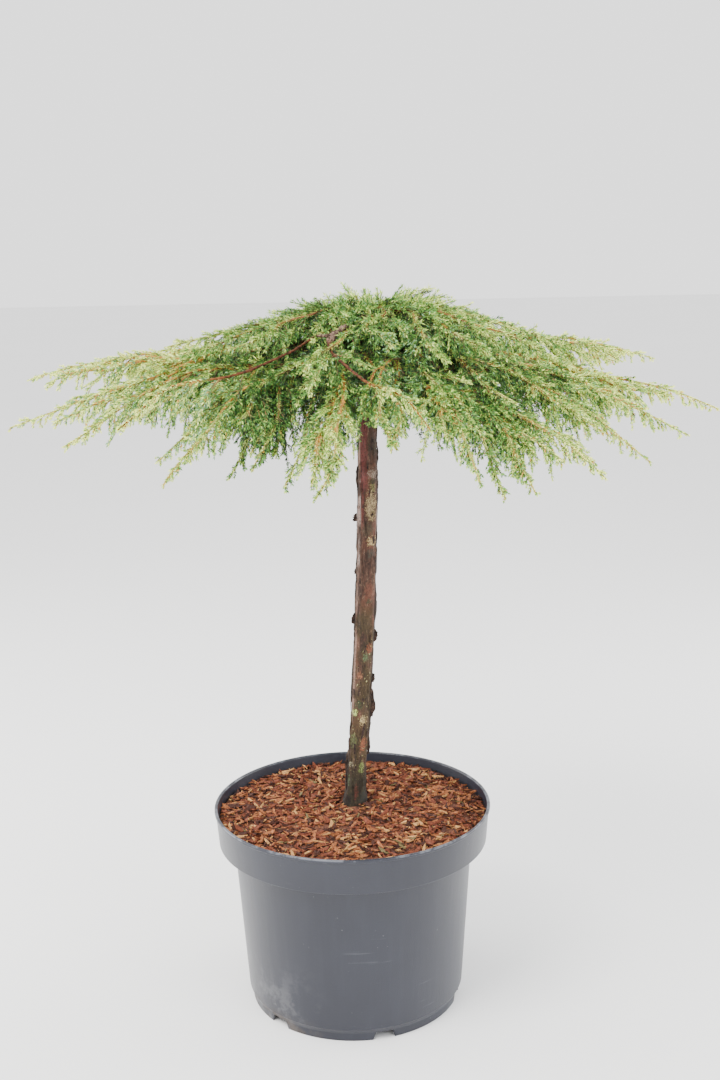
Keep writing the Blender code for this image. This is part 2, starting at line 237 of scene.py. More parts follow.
def mesh_piece(name, points, faces, finish, smooth=True):
    """A piece from arrays of points and of triangles or quads, riding on the plant's one body."""
    mesh = bpy.data.meshes.new(name)
    points = np.asarray(points, dtype=np.float32)
    faces = np.asarray(faces, dtype=np.int32)
    corners = faces.shape[1]
    mesh.vertices.add(len(points))
    mesh.vertices.foreach_set("co", points.ravel())
    mesh.loops.add(faces.size)
    mesh.loops.foreach_set("vertex_index", faces.ravel())
    mesh.polygons.add(len(faces))
    mesh.polygons.foreach_set("loop_start", np.arange(0, faces.size, corners, dtype=np.int32))
    mesh.polygons.foreach_set("use_smooth", np.full(len(faces), smooth))
    mesh.update(calc_edges=True)
    mesh.materials.append(finish)
    piece = bpy.data.objects.new(name, mesh)
    bpy.context.scene.collection.objects.link(piece)
    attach(piece, "root")
    return piece


def rounded(profile, bend=0.0006):
    """A profile with each inner corner cut into a small bend of three points."""
    done = [profile[0]]
    for before, corner, after in zip(profile, profile[1:], profile[2:]):
        corner = np.array(corner)
        back = np.array(before) - corner
        ahead = np.array(after) - corner
        start = corner + back * min(0.4, bend / np.linalg.norm(back))
        end = corner + ahead * min(0.4, bend / np.linalg.norm(ahead))
        done += [tuple(start), tuple(0.25 * start + 0.5 * corner + 0.25 * end), tuple(end)]
    return done + [profile[-1]]


def turned_arrays(profile, steps):
    """Points and quads of a profile of (radius, height) turned round Z."""
    turns = np.linspace(0.0, 2.0 * math.pi, steps, endpoint=False)
    radius, height = np.array(profile).T
    points = np.stack([
        radius[:, None] * np.cos(turns),
        radius[:, None] * np.sin(turns),
        np.repeat(height[:, None], steps, axis=1),
    ], axis=-1)
    ring = np.arange(steps)
    first = np.arange(len(profile) - 1)[:, None] * steps
    here = first + ring
    beside = first + (ring + 1) % steps
    faces = np.stack([here, here + steps, beside + steps, beside], axis=-1)
    return points, faces.reshape(-1, 4)


band_foot = POT_HEIGHT - BAND_DEPTH
pot_floor = FLOOR_RAISE + POT_WALL
pot_profile = [
    (0.0, POT_WALL), (PAD_RADIUS - POT_WALL, POT_WALL), (PAD_RADIUS, pot_floor),
    (BODY_FOOT_RADIUS - POT_WALL, pot_floor), (BODY_TOP_RADIUS - POT_WALL, band_foot + POT_WALL - LEDGE_DROP),
    (BAND_FOOT_RADIUS - POT_WALL, band_foot + POT_WALL), (LIP_RADIUS - LIP_WIDTH, POT_HEIGHT - 0.001),
    (LIP_RADIUS - LIP_WIDTH + 0.001, POT_HEIGHT), (LIP_RADIUS - 0.0008, POT_HEIGHT),
    (LIP_RADIUS, POT_HEIGHT - 0.0008), (LIP_RADIUS, POT_HEIGHT - LIP_DEPTH),
    (BAND_TOP_RADIUS, POT_HEIGHT - LIP_DEPTH - 0.0006), (BAND_FOOT_RADIUS, band_foot),
    (BODY_TOP_RADIUS, band_foot - LEDGE_DROP), (BODY_FOOT_RADIUS, FOOT_HEIGHT + 0.001),
    (FOOT_STEP_RADIUS, FOOT_HEIGHT), (FOOT_RADIUS + 0.0002, NOTCH_HEIGHT), (FOOT_RADIUS, 0.0),
    (FOOT_RADIUS - POT_WALL, 0.0), (FOOT_RADIUS - POT_WALL, NOTCH_HEIGHT),
    (PAD_RADIUS + POT_WALL, FLOOR_RAISE), (PAD_RADIUS, 0.0), (0.0, 0.0),
]
pot_points, pot_faces = turned_arrays(rounded(pot_profile)[::-1], POT_STEPS)
turns = np.degrees(np.arctan2(pot_points[..., 1], pot_points[..., 0]))
from_notch = np.abs((turns + 90.0 - NOTCH_FIRST_DEG + 30.0) % (360.0 / NOTCHES) - 30.0)
reach = np.hypot(pot_points[..., 0], pot_points[..., 1])
in_notch = (from_notch < math.degrees(0.5 * NOTCH_WIDTH / FOOT_RADIUS)) & (reach > PAD_RADIUS + 0.02)
pot_points[..., 2] = np.where(in_notch, np.maximum(pot_points[..., 2], NOTCH_HEIGHT), pot_points[..., 2])

pot_plastic, shader, place = start_finish("pot_plastic")
parts = place.node("ShaderNodeSeparateXYZ", None, {0: place})
across = parts
depth = Wire(parts.tree, parts.socket.node.outputs[1])
height = Wire(parts.tree, parts.socket.node.outputs[2])
reach = (across * across + depth * depth) ** 0.5
inside = (1.0 - (reach - (LIP_RADIUS - LIP_WIDTH)).step(-0.0016, -0.0004)) * height.step(band_foot, band_foot + 0.01)
cloud = place.noise(9.0, 4.0)
streaks = place.stretched(55.0, 55.0, 5.0).noise(1.0, 4.0, 0.6)
specks = place.noise(520.0, 2.0).step(0.73, 0.76) * place.noise(30.0).step(0.52, 0.62)
scuffs = place.stretched(14.0, 14.0, 220.0).noise(1.0, 3.0).step(0.64, 0.72) * place.noise(14.0).step(0.55, 0.65)
left_front = (0.0 - across).step(0.02, 0.09) * (0.0 - depth).step(0.0, 0.06)
smear = left_front * (1.0 - height.step(0.02, 0.09)) * place.noise(38.0, 5.0, 0.7).step(0.47, 0.62)
dirt = left_front * (1.0 - height.step(0.004, 0.022)) * place.noise(70.0, 4.0).step(0.42, 0.58)
# Painted highlight along the lip's rounded top, broken into scalloped worn marks.
lip_wear_and_highlight = height.step(0.2040, 0.2052) * place.stretched(60.0, 60.0, 60.0).noise(1.0, 4.0, 0.7).step(0.46, 0.60)
# Painted highlight: a thin, broken pale line at the band's foot.
ledge_highlight = (1.0 - (height - band_foot + 0.001).math("ABSOLUTE", height - band_foot + 0.001).step(0.0006, 0.0016))
ledge_highlight = ledge_highlight * place.noise(26.0, 3.0).step(0.34, 0.60)
color = (cloud.step(0.35, 0.75) * 0.30 + streaks.step(0.45, 0.8) * 0.22).mixed(POT_GREY, POT_PALE)
color = (specks * 0.5).mixed(color, (0.26, 0.27, 0.28, 1.0))
color = (scuffs * 0.16).mixed(color, (0.20, 0.21, 0.24, 1.0))
color = (smear * 0.30).mixed(color, (0.20, 0.20, 0.21, 1.0))
color = (dirt * 0.85).mixed(color, POT_DIRT)
color = (lip_wear_and_highlight * 0.5).mixed(color, POT_WORN_AND_HIGHLIGHT)
color = (ledge_highlight * 0.6).mixed(color, POT_WORN_AND_HIGHLIGHT)
# Painted shade: the inner wall below the lip is made near black.
color = (inside * 0.95).mixed(color, POT_INSIDE_SHADE)
feed(shader, Base_Color=color, Roughness=0.27 + cloud * 0.16 + dirt * 0.3 + inside * 0.5,
     Normal=relief(place.noise(900.0, 2.0) * 0.4 + streaks, 0.00025))
pot = mesh_piece("pot_body", pot_points.reshape(-1, 3), pot_faces, pot_plastic)
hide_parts("pot")

# The mulch: shredded conifer bark, rust-red with tan, orange and dark pieces, laid loose on potting mix
# that fills the pot. It lies a little lower at the wall than at the stem.

SOIL_EDGE_HEIGHT = 0.1945
SOIL_SEAT_HEIGHT = 0.2015
SEAT_RADIUS = 0.029
MULCH_RADIUS = 0.1362
FOOT_X = 0.0035
HUB_X = 0.0222
HUB_Y = 0.010
CHIP_SHADES = {
    "rust": ((0.170, 0.045, 0.021), 1900),
    "umber": ((0.055, 0.018, 0.011), 1200),
    "russet": ((0.320, 0.110, 0.040), 1300),
    "tan": ((0.490, 0.250, 0.090), 520),
    "olive": ((0.150, 0.115, 0.045), 90),
}


def mulch_height(radius):
    """The height of the mulch at a distance from the pot's axis."""
    part = np.clip((radius - SEAT_RADIUS) / (MULCH_RADIUS - SEAT_RADIUS), 0.0, 1.0)
    return SOIL_SEAT_HEIGHT - (SOIL_SEAT_HEIGHT - SOIL_EDGE_HEIGHT) * part ** 1.5


def lattice(u, v, columns, rows, seed):
    """Smooth noise from 0 to 1 over two coordinates from 0 to 1, the first of which wraps round."""
    values = np.random.default_rng(seed).random((columns, rows + 2))
    column = u * columns
    row = np.clip(v, 0.0, 1.0) * rows
    left = np.floor(column).astype(int)
    below = np.floor(row).astype(int)
    side = column - left
    up = row - below
    side = side * side * (3.0 - 2.0 * side)
    up = up * up * (3.0 - 2.0 * up)
    low = values[left % columns, below] * (1.0 - side) + values[(left + 1) % columns, below] * side
    high = values[left % columns, below + 1] * (1.0 - side) + values[(left + 1) % columns, below + 1] * side
    return low * (1.0 - up) + high * up


mulch_radii = [0.0, *np.linspace(0.008, MULCH_RADIUS, 60)]
mulch_profile = [(radius, float(mulch_height(radius))) for radius in mulch_radii]
mulch_profile += [(MULCH_RADIUS, SOIL_EDGE_HEIGHT - 0.01), (BAND_FOOT_RADIUS - POT_WALL - 0.0008, band_foot + 0.004),
                  (BODY_TOP_RADIUS - POT_WALL - 0.0006, band_foot - 0.004),
                  (BODY_FOOT_RADIUS - POT_WALL - 0.0006, pot_floor + 0.0006), (0.0, pot_floor + 0.0006)]
mulch_points, mulch_faces = turned_arrays(mulch_profile, 180)
flat_x = mulch_points[..., 0]
flat_y = mulch_points[..., 1]
lumps = lattice(flat_x / 0.3 + 0.5, flat_y / 0.3 + 0.5, 60, 60, 11) - 0.5
lumps += 0.6 * (lattice(flat_x / 0.3 + 0.5, flat_y / 0.3 + 0.5, 130, 130, 12) - 0.5)
on_top = np.arange(len(mulch_profile))[:, None] < len(mulch_radii)
mulch_points[..., 2] += np.where(on_top, 0.0016 * lumps - 0.0012, 0.0)


def bark_finish(name, base, dark, pale, scale, sheen=0.85):
    """Fibrous bark: a base colour broken by dark fibres and pale dust."""
    made, shader, place = start_finish(name)
    fibres = place.noise(scale * 3.0, 4.0, 0.65)
    patches = place.noise(scale, 3.0)
    color = fibres.step(0.35, 0.62).mixed((*dark, 1.0), (*base, 1.0))
    color = (patches.step(0.52, 0.72) * 0.6).mixed(color, (*pale, 1.0))
    feed(shader, Base_Color=color, Roughness=sheen + patches * 0.1, Normal=relief(fibres, 0.0006))
    feed(shader, Specular_IOR_Level=0.25)
    return made


mulch_finish = bark_finish("mulch_bed", (0.150, 0.055, 0.032), (0.050, 0.022, 0.016), (0.260, 0.110, 0.060), 160.0)
mulch = mesh_piece("mulch_bed", mulch_points.reshape(-1, 3), mulch_faces, mulch_finish)
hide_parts("mulch", "root_ball")

CHIP_OUTLINE = np.array([(-1.0, 0.25), (-0.55, 0.9), (0.5, 1.0), (1.0, 0.2), (0.55, -0.9), (-0.5, -1.0)])
chip_top = [(6, 7, 8), (6, 8, 9), (6, 9, 10), (6, 10, 11)]
chip_foot = [(0, 2, 1), (0, 3, 2), (0, 4, 3), (0, 5, 4)]
chip_sides = [(i, (i + 1) % 6, 6 + (i + 1) % 6) for i in range(6)] + [(i, 6 + (i + 1) % 6, 6 + i) for i in range(6)]
CHIP_FACES = np.array(chip_top + chip_foot + chip_sides)


def turned_frames(heading, tilt, roll):
    """Three axes for each chip from its heading, tilt and roll."""
    along = np.stack([np.cos(heading) * np.cos(tilt), np.sin(heading) * np.cos(tilt), np.sin(tilt)], axis=-1)
    level = np.stack([-np.sin(heading), np.cos(heading), np.zeros_like(heading)], axis=-1)
    normal = np.cross(along, level)
    beside = level * np.cos(roll)[:, None] + normal * np.sin(roll)[:, None]
    return along, beside, np.cross(along, beside)


def chip_arrays(count, chance, radius=None, turn=None, half_length=None, half_width=None, lift=None):
    """Slivers of bark lying on the mulch."""
    if radius is None:
        radius = MULCH_RADIUS * np.sqrt(chance.uniform(0.004, 0.965, count))
        turn = chance.uniform(0.0, 2.0 * math.pi, count)
    if half_length is None:
        half_length = 0.0018 + 0.0062 * chance.random(count) ** 1.6
        half_width = np.clip(half_length * chance.uniform(0.05, 0.30, count), 0.00035, 0.0016)
    half_thick = np.clip(half_width * chance.uniform(0.25, 0.55, count), 0.00025, 0.0010)
    heading = chance.uniform(0.0, 2.0 * math.pi, count)
    tilt = np.clip(chance.normal(0.0, 0.22, count), -0.6, 0.6)
    roll = chance.normal(0.0, 0.35, count)
    inner = np.minimum(radius, MULCH_RADIUS - 0.75 * half_length)
    rise = chance.uniform(0.0, 0.0022, count) if lift is None else lift
    centre = np.stack([inner * np.cos(turn), inner * np.sin(turn), mulch_height(inner) + rise], axis=-1)
    along, beside, normal = turned_frames(heading, tilt, roll)
    outline = CHIP_OUTLINE[None] * chance.uniform(0.75, 1.15, (count, 6, 2))
    flat = (outline[..., 0:1] * half_length[:, None, None] * along[:, None]
            + outline[..., 1:2] * half_width[:, None, None] * beside[:, None])
    bend = (outline[..., 0:1] ** 2 - 0.4) * (half_length * chance.normal(0.0, 0.22, count))[:, None, None]
    hook = (outline[..., 0:1] ** 2 - 0.4) * (half_length * chance.normal(0.0, 0.30, count))[:, None, None]
    flat = flat + bend * normal[:, None] + hook * beside[:, None]
    thick = half_thick[:, None, None] * normal[:, None]
    points = centre[:, None] + np.concatenate([flat - thick, flat + 0.8 * thick], axis=1)
    faces = CHIP_FACES[None] + 12 * np.arange(count)[:, None, None]
    return points.reshape(-1, 3), faces.reshape(-1, 3)


for number, (shade, (color, count)) in enumerate(CHIP_SHADES.items()):
    points, faces = chip_arrays(count, np.random.default_rng(40 + number))
    dark = tuple(0.45 * value for value in color)
    pale = tuple(min(1.0, 1.5 * value + 0.03) for value in color)
    finish = bark_finish(f"chips_{shade}", color, dark, pale, 260.0)
    mesh_piece(f"chips_{shade}", points, faces, finish, smooth=False)

# The trunk: a slender grafted stem of red-brown wood whose thin bark peels in long strips. It stands in
# the mulch, flares into two knobs at its foot and leans to the right on its way up to the hub.

HUB_HEIGHT = 0.610
TRUNK_TOP = 0.672
TRUNK_FOOT = 0.196
FLARE_RADIUS = 0.0134
FLARE_HEIGHT = 0.030
STEM_RADIUS = 0.0109
HUB_RADIUS = 0.0098
TRUNK_SIDES = 96
TRUNK_RINGS = 340


def stem_centre(height):
    """The stem's middle line at a height."""
    rise = np.clip((height - SOIL_SEAT_HEIGHT) / (HUB_HEIGHT - SOIL_SEAT_HEIGHT), 0.0, 1.0)
    lean = FOOT_X + (HUB_X - FOOT_X) * np.sin(0.5 * math.pi * rise)
    lean = lean - 0.0013 * np.exp(-((height - 0.245) / 0.035) ** 2)
    return lean, np.full_like(lean, HUB_Y)


def stem_radius(height):
    """The stem's thickness at a height, with a flare above the soil."""
    rise = (height - SOIL_SEAT_HEIGHT) / (TRUNK_TOP - SOIL_SEAT_HEIGHT)
    flare = np.clip(1.0 - (height - SOIL_SEAT_HEIGHT) / FLARE_HEIGHT, 0.0, 1.0)
    return STEM_RADIUS + (HUB_RADIUS - STEM_RADIUS) * rise + (FLARE_RADIUS - STEM_RADIUS) * flare ** 2


u = np.linspace(0.0, 1.0, TRUNK_SIDES, endpoint=False)[None, :]
v = np.linspace(0.0, 1.0, TRUNK_RINGS)[:, None]
u = np.repeat(u, TRUNK_RINGS, axis=0)
v = np.repeat(v, TRUNK_SIDES, axis=1)
twist = u + 0.05 * v + 0.05 * (lattice(u, v, 5, 14, 3) - 0.5)
trunk_height = TRUNK_FOOT + (TRUNK_TOP - TRUNK_FOOT) * v
peel = np.zeros_like(u)
for layer, (columns, rows, level) in enumerate([(13, 15, 0.52), (19, 26, 0.56), (27, 34, 0.60)]):
    strip = lattice(twist, v, columns, rows, 20 + layer) + 0.22 * (lattice(twist, v, 48, 160, 30 + layer) - 0.5)
    peel += np.clip((strip - level) / 0.05, 0.0, 1.0)
fibre = lattice(twist, v, 55, 40, 37) - 0.5
swelling = lattice(u, v, 4, 9, 38) - 0.5
knobs = np.exp(-((u - 0.60) / 0.055) ** 2) + np.exp(-((u - 0.885) / 0.06) ** 2) - 0.6 * np.exp(-((u - 0.745) / 0.04) ** 2)
knobs = knobs * np.exp(-((trunk_height - 0.2065) / 0.010) ** 2)
NUBS = ((0.545, 257.0, 0.0028), (0.5475, 300.0, 0.0026), (0.4185, 292.0, 0.0024), (0.385, 214.0, 0.0022),
        (0.470, 60.0, 0.003), (0.330, 130.0, 0.0026), (0.300, 20.0, 0.0024), (0.250, 160.0, 0.0028))
nubs = np.zeros_like(u)
for nub_height, nub_turn, nub_size in NUBS:
    around = (u * 360.0 - nub_turn + 180.0) % 360.0 - 180.0
    distance = np.hypot((trunk_height - nub_height) / 0.0045, np.radians(around) * STEM_RADIUS / 0.0032)
    nubs += nub_size * np.exp(-distance ** 2)
radius = stem_radius(trunk_height) - 0.0011 + 0.00062 * peel + 0.0005 * fibre + 0.0014 * swelling
radius += 0.0022 * knobs + nubs
lean, back = stem_centre(trunk_height)
angle = 2.0 * math.pi * u
trunk_points = np.stack([lean + radius * np.cos(angle), back + radius * np.sin(angle), trunk_height], axis=-1)


def tube_faces(rings, sides, count=1):
    """Quads of tubes whose rings lie one after another."""
    ring = np.arange(sides)
    first = (np.arange(rings - 1) * sides)[:, None]
    here = first + ring
    beside = first + (ring + 1) % sides
    faces = np.stack([here, beside, beside + sides, here + sides], axis=-1).reshape(-1, 4)
    return (faces[None] + (rings * sides * np.arange(count))[:, None, None]).reshape(-1, 4)


stem_bark, shader, place = start_finish("stem_bark")
parts = place.node("ShaderNodeSeparateXYZ", None, {0: place})
height = Wire(parts.tree, parts.socket.node.outputs[2])
depth = Wire(parts.tree, parts.socket.node.outputs[1])
rise = (height - SOIL_SEAT_HEIGHT) * (0.5 * math.pi / (HUB_HEIGHT - SOIL_SEAT_HEIGHT))
across = parts - FOOT_X - rise.math("SINE", rise) * (HUB_X - FOOT_X)
front = (HUB_Y - depth).step(-0.001, 0.002)
strips = place.stretched(230.0, 230.0, 34.0).noise(1.0, 5.0, 0.65)
cracks = place.stretched(330.0, 330.0, 26.0).noise(1.0, 3.0, 0.6)
fine = place.stretched(1.0, 1.0, 0.5).noise(900.0, 4.0, 0.75)
grain = place.stretched(1.0, 1.0, 0.45).noise(330.0, 3.0, 0.6)
broad = place.stretched(70.0, 70.0, 30.0).noise(1.0, 3.0)
color = strips.node("ShaderNodeValToRGB", {"stops": [
    (0.30, (0.024, 0.013, 0.009)), (0.42, (0.052, 0.025, 0.017)), (0.52, (0.084, 0.041, 0.027)),
    (0.62, (0.120, 0.064, 0.042)), (0.75, (0.210, 0.125, 0.090)),
]}, {0: strips})
color = (broad.step(0.52, 0.68) * 0.55).mixed(color, (0.150, 0.050, 0.030, 1.0))
olive = (1.0 - height.step(0.400, 0.425)) * place.stretched(60.0, 60.0, 30.0).noise(1.3, 3.0).step(0.34, 0.52)
color = (olive * 0.75).mixed(color, (0.052, 0.038, 0.016, 1.0))
color = (grain.step(0.55, 0.70) * 0.45).mixed(color, (0.240, 0.145, 0.095, 1.0))
red_strip = height.step(0.525, 0.535) * (across.step(-0.0075, -0.0060) * (1.0 - across.step(-0.0010, 0.0008)))
red_strip = red_strip + height.step(0.485, 0.50) * across.step(-0.0062, -0.0052) * (1.0 - across.step(-0.0040, -0.0030))
color = (red_strip * front * 0.85).mixed(color, (0.130, 0.036, 0.030, 1.0))
# Painted light: pale grey-pink and pinkish strips down the stem's left and right edges as seen, where side light
# catches it.
lit_left_strip = grain.step(0.36, 0.48) * height.step(0.44, 0.46) * (1.0 - height.step(0.545, 0.555)) * (1.0 - across.step(-0.0072, -0.0060))
lit_pink_strip = (1.0 - across.step(-0.0080, -0.0068)) * across.step(-0.0098, -0.0088) * height.step(0.29, 0.31)
lit_right_strip = across.step(0.0082, 0.0094) * height.step(0.44, 0.46) * (1.0 - height.step(0.575, 0.59))
color = ((lit_left_strip + lit_right_strip) * front * grain.step(0.30, 0.45) * broad.step(0.42, 0.56) * 0.8).mixed(color, (0.400, 0.330, 0.300, 1.0))
color = (lit_pink_strip * front * broad.step(0.40, 0.56) * 0.6).mixed(color, (0.380, 0.230, 0.180, 1.0))
STEM_SPOTS = (
    (0.0052, 0.5720, 0.0060, 0.0100, (0.030, 0.028, 0.016)), (0.0052, 0.5440, 0.0050, 0.0060, (0.250, 0.185, 0.140)),
    (0.0040, 0.5365, 0.0032, 0.0036, (0.035, 0.036, 0.014)), (0.0048, 0.5300, 0.0030, 0.0050, (0.190, 0.170, 0.060)),
    (0.0035, 0.5120, 0.0056, 0.0150, (0.400, 0.300, 0.150)), (0.0012, 0.4890, 0.0056, 0.0080, (0.075, 0.054, 0.032)),
    (0.0044, 0.4770, 0.0046, 0.0052, (0.480, 0.360, 0.160)), (0.0034, 0.4650, 0.0034, 0.0046, (0.050, 0.045, 0.032)),
    (0.0034, 0.4170, 0.0034, 0.0026, (0.035, 0.045, 0.022)), (0.0020, 0.3590, 0.0030, 0.0042, (0.100, 0.150, 0.070)),
    (0.0060, 0.3680, 0.0030, 0.0050, (0.220, 0.060, 0.030)), (-0.0030, 0.3400, 0.0028, 0.0040, (0.300, 0.120, 0.060)),
    (-0.0020, 0.3080, 0.0042, 0.0050, (0.030, 0.052, 0.022)), (-0.0058, 0.3005, 0.0030, 0.0038, (0.480, 0.600, 0.160)),
    (0.0030, 0.2920, 0.0040, 0.0060, (0.430, 0.320, 0.150)), (-0.0060, 0.2700, 0.0040, 0.0080, (0.110, 0.130, 0.050)),
    (0.0040, 0.2660, 0.0036, 0.0080, (0.300, 0.095, 0.045)), (-0.0070, 0.2450, 0.0026, 0.0030, (0.330, 0.290, 0.190)),
    (0.0036, 0.2420, 0.0026, 0.0060, (0.260, 0.340, 0.090)), (-0.0100, 0.2280, 0.0024, 0.0080, (0.080, 0.110, 0.055)),
    (-0.0005, 0.2150, 0.0022, 0.0110, (0.090, 0.026, 0.018)), (-0.0085, 0.2070, 0.0040, 0.0060, (0.016, 0.014, 0.014)),
    (0.0070, 0.2080, 0.0045, 0.0070, (0.020, 0.024, 0.022)),
)
moss = (1.0 - height.step(0.224, 0.254)) * grain.step(0.28, 0.46)
color = (moss * 0.85).mixed(color, (0.020, 0.019, 0.011, 1.0))
ragged = place.noise(520.0, 5.0, 0.75) * 7.0 - 3.5
flecks = place.noise(1100.0, 2.0, 0.6).step(0.38, 0.50)
for spot_across, spot_height, half_width, half_height, spot_color in STEM_SPOTS:
    away = ((across - spot_across) / half_width) ** 2 + ((height - spot_height) / half_height) ** 2
    spot = (away + ragged).step(1.0, 0.5) * front * flecks
    color = (spot * 0.9).mixed(color, (*spot_color, 1.0))
dots = place.noise(620.0, 1.0).step(0.70, 0.74) * (1.0 - height.step(0.365, 0.385)) * height.step(0.225, 0.235)
color = (dots * 0.9).mixed(color, (0.520, 0.480, 0.210, 1.0))
lichen = place.noise(150.0, 3.0, 0.7).step(0.60, 0.66) * (1.0 - height.step(0.36, 0.39)) * (1.0 - front)
color = (lichen * 0.75).mixed(color, (0.220, 0.270, 0.080, 1.0))
# Painted shade: near-black bands along the stem's left and right edges as seen.
shaded_edges = across.math("ABSOLUTE", across).step(0.0084, 0.0096) * strips.step(0.66, 0.50)
color = (shaded_edges * 0.85).mixed(color, (0.018, 0.011, 0.009, 1.0))
crack = (cracks - 0.5).math("ABSOLUTE", cracks - 0.5).step(0.022, 0.006) * broad.step(0.56, 0.44)
color = (crack * 0.85).mixed(color, (0.020, 0.012, 0.009, 1.0))
color = ((1.0 - fine.step(0.36, 0.54)) * 0.70).mixed(color, (0.022, 0.013, 0.009, 1.0))
feed(shader, Base_Color=color, Roughness=0.72 + fine * 0.25, Specular_IOR_Level=0.3,
     Normal=relief(strips * 0.6 + fine * 0.6 - crack * 0.5, 0.0012))
trunk = mesh_piece("trunk_stem", trunk_points.reshape(-1, 3), tube_faces(TRUNK_RINGS, TRUNK_SIDES), stem_bark)
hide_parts("trunk")

# Loose flakes: strips of outer bark that have let go at one end and stand off the trunk.

FLAKES = 120
FLAKE_STOPS = 9
# Foot, turn in degrees, length, stand-off: the flakes that show against the light at the trunk's edges.
EDGE_FLAKES = ((0.2935, -6.0, 0.029, 0.0034), (0.2530, -4.0, 0.020, 0.0028), (0.3720, -3.0, 0.013, 0.0042),
               (0.3910, 183.0, 0.012, 0.0034), (0.4960, 184.0, 0.008, 0.0034), (0.4425, 182.0, 0.007, 0.0020),
               (0.5290, 186.0, 0.022, 0.0018), (0.3000, 182.0, 0.060, 0.0012), (0.2330, 182.0, 0.020, 0.0014),
               (0.3300, -8.0, 0.009, 0.0022), (0.5530, -2.0, 0.018, 0.0014), (0.4020, 180.0, 0.030, 0.0010))


def flake_arrays(chance):
    """Thin closed strips on the trunk, each lifting a little towards one end, and fins on its edges."""
    foot = chance.uniform(0.212, 0.585, FLAKES)
    around = chance.uniform(0.0, 2.0 * math.pi, FLAKES)
    length = chance.uniform(0.005, 0.020, FLAKES)
    width = chance.uniform(0.0016, 0.0046, FLAKES)
    thick = chance.uniform(0.0004, 0.0009, FLAKES)
    lift = chance.uniform(0.0, 0.0006, FLAKES)
    skew = chance.normal(0.0, 0.10, FLAKES)
    for index, (edge_foot, edge_turn, edge_length, stand_off) in enumerate(EDGE_FLAKES):
        foot[index] = edge_foot
        around[index] = math.radians(edge_turn)
        length[index] = edge_length
        thick[index] = 1.35 * stand_off
        width[index] = 0.0018
        skew[index] = 0.0
        lift[index] = 0.0
    parts = np.linspace(0.0, 1.0, FLAKE_STOPS)
    height = np.clip(foot[:, None] + length[:, None] * parts, 0.203, 0.6)
    early, late = chance.uniform(0.15, 0.7, (2, FLAKES, 1))
    slim = (0.04 + 0.92 * parts) ** early * (0.96 - 0.92 * parts) ** late * 1.5
    slim = slim * chance.uniform(0.7, 1.2, (FLAKES, FLAKE_STOPS))
    corners = []
    for side, layer in ((-1.0, 0.0), (1.0, 0.0), (1.0, 1.0), (-1.0, 1.0)):
        radius = stem_radius(height) - 0.0007 + lift[:, None] * parts ** 2.2 + thick[:, None] * slim * layer
        turn = around[:, None] + skew[:, None] * parts + side * (width[:, None] * slim * 0.5) / STEM_RADIUS
        lean, back = stem_centre(height)
        corners.append(np.stack([lean + radius * np.cos(turn), back + radius * np.sin(turn), height], axis=-1))
    points = np.stack(corners, axis=2)
    return points.reshape(-1, 3), tube_faces(FLAKE_STOPS, 4, FLAKES)


points, faces = flake_arrays(np.random.default_rng(61))
flake_bark = bark_finish("flake_bark", (0.045, 0.026, 0.020), (0.012, 0.009, 0.008), (0.130, 0.075, 0.052), 160.0)
mesh_piece("bark_flakes", points, faces, flake_bark, smooth=False)

# The boughs: long slender limbs of orange to red-brown wood with thin scaly bark. Each leaves the hub,
# rises to a shoulder and droops to its tip; shorter ones above them carry the cap of the crown.

LOWER_BOUGHS = {
    "right": (3.0, 0.345, 0.598), "right_front_1": (-13.0, 0.304, 0.585), "right_front_2": (-28.0, 0.281, 0.571),
    "right_front_3": (-43.0, 0.273, 0.566), "front_right_1": (-59.0, 0.263, 0.562),
    "front_right_2": (-73.0, 0.290, 0.582), "front": (-85.0, 0.250, 0.604), "front_left_1": (-98.0, 0.306, 0.576),
    "front_left_2": (-110.0, 0.210, 0.566), "front_left_3": (-126.0, 0.286, 0.576),
    "left_front_1": (-142.0, 0.233, 0.582), "left_front_2": (-157.0, 0.295, 0.592), "left_1": (-171.0, 0.337, 0.602),
    "left_2": (-189.0, 0.343, 0.635), "left_back": (-210.0, 0.322, 0.622), "back_left_1": (-231.0, 0.306, 0.606),
    "back_left_2": (-252.0, 0.312, 0.598), "back": (-274.0, 0.298, 0.606), "back_right_1": (-296.0, 0.316, 0.602),
    "back_right_2": (-318.0, 0.322, 0.618), "right_back": (-338.0, 0.326, 0.639), "front_right_3": (-66.0, 0.267, 0.562),
    "front_left_4": (-125.0, 0.209, 0.570), "front_left_5": (-117.0, 0.217, 0.580),
}
ROOT_LEVELS = (0.604, 0.642, 0.623)
SHOULDER_REACH = 0.100
SHOULDER_HEIGHT = 0.655
SHOULDER_LIFT = 0.35
LOW_TIP = 0.580
DROOP_POWER = 1.6
UPPER_BOUGHS = 25
TUFT_BOUGHS = 11
FRONT_BOUGHS = ((-83.0, 0.165), (-70.0, 0.195), (-56.0, 0.185), (-40.0, 0.150))
MIDDLE_BOUGHS = 22
UPPER_ROOT_HEIGHT = 0.662
MIDDLE_ROOT_HEIGHT = 0.635
TUFT_ROOT_HEIGHT = 0.664
CAP_HEIGHT = 0.722
CAP_SLOPE = 0.16
CAP_CURVE = 0.45
CAP_SIDE_LIFT = 0.006
LAYER_DEPTH = 0.034
LAYER_REACH = 0.21
BOUGH_STOPS = 34
BOUGH_SIDES = 7
BOUGH_RINGS = 48
GREEN_RING = 33


def cap_surface(azimuth, reach):
    """The height of the crown's upper surface."""
    bulge = np.sin(math.pi * np.minimum(reach / 0.2, 1.0))
    side = CAP_SIDE_LIFT * math.cos(math.radians(azimuth)) * bulge
    return CAP_HEIGHT - CAP_SLOPE * reach - CAP_CURVE * reach * reach + side


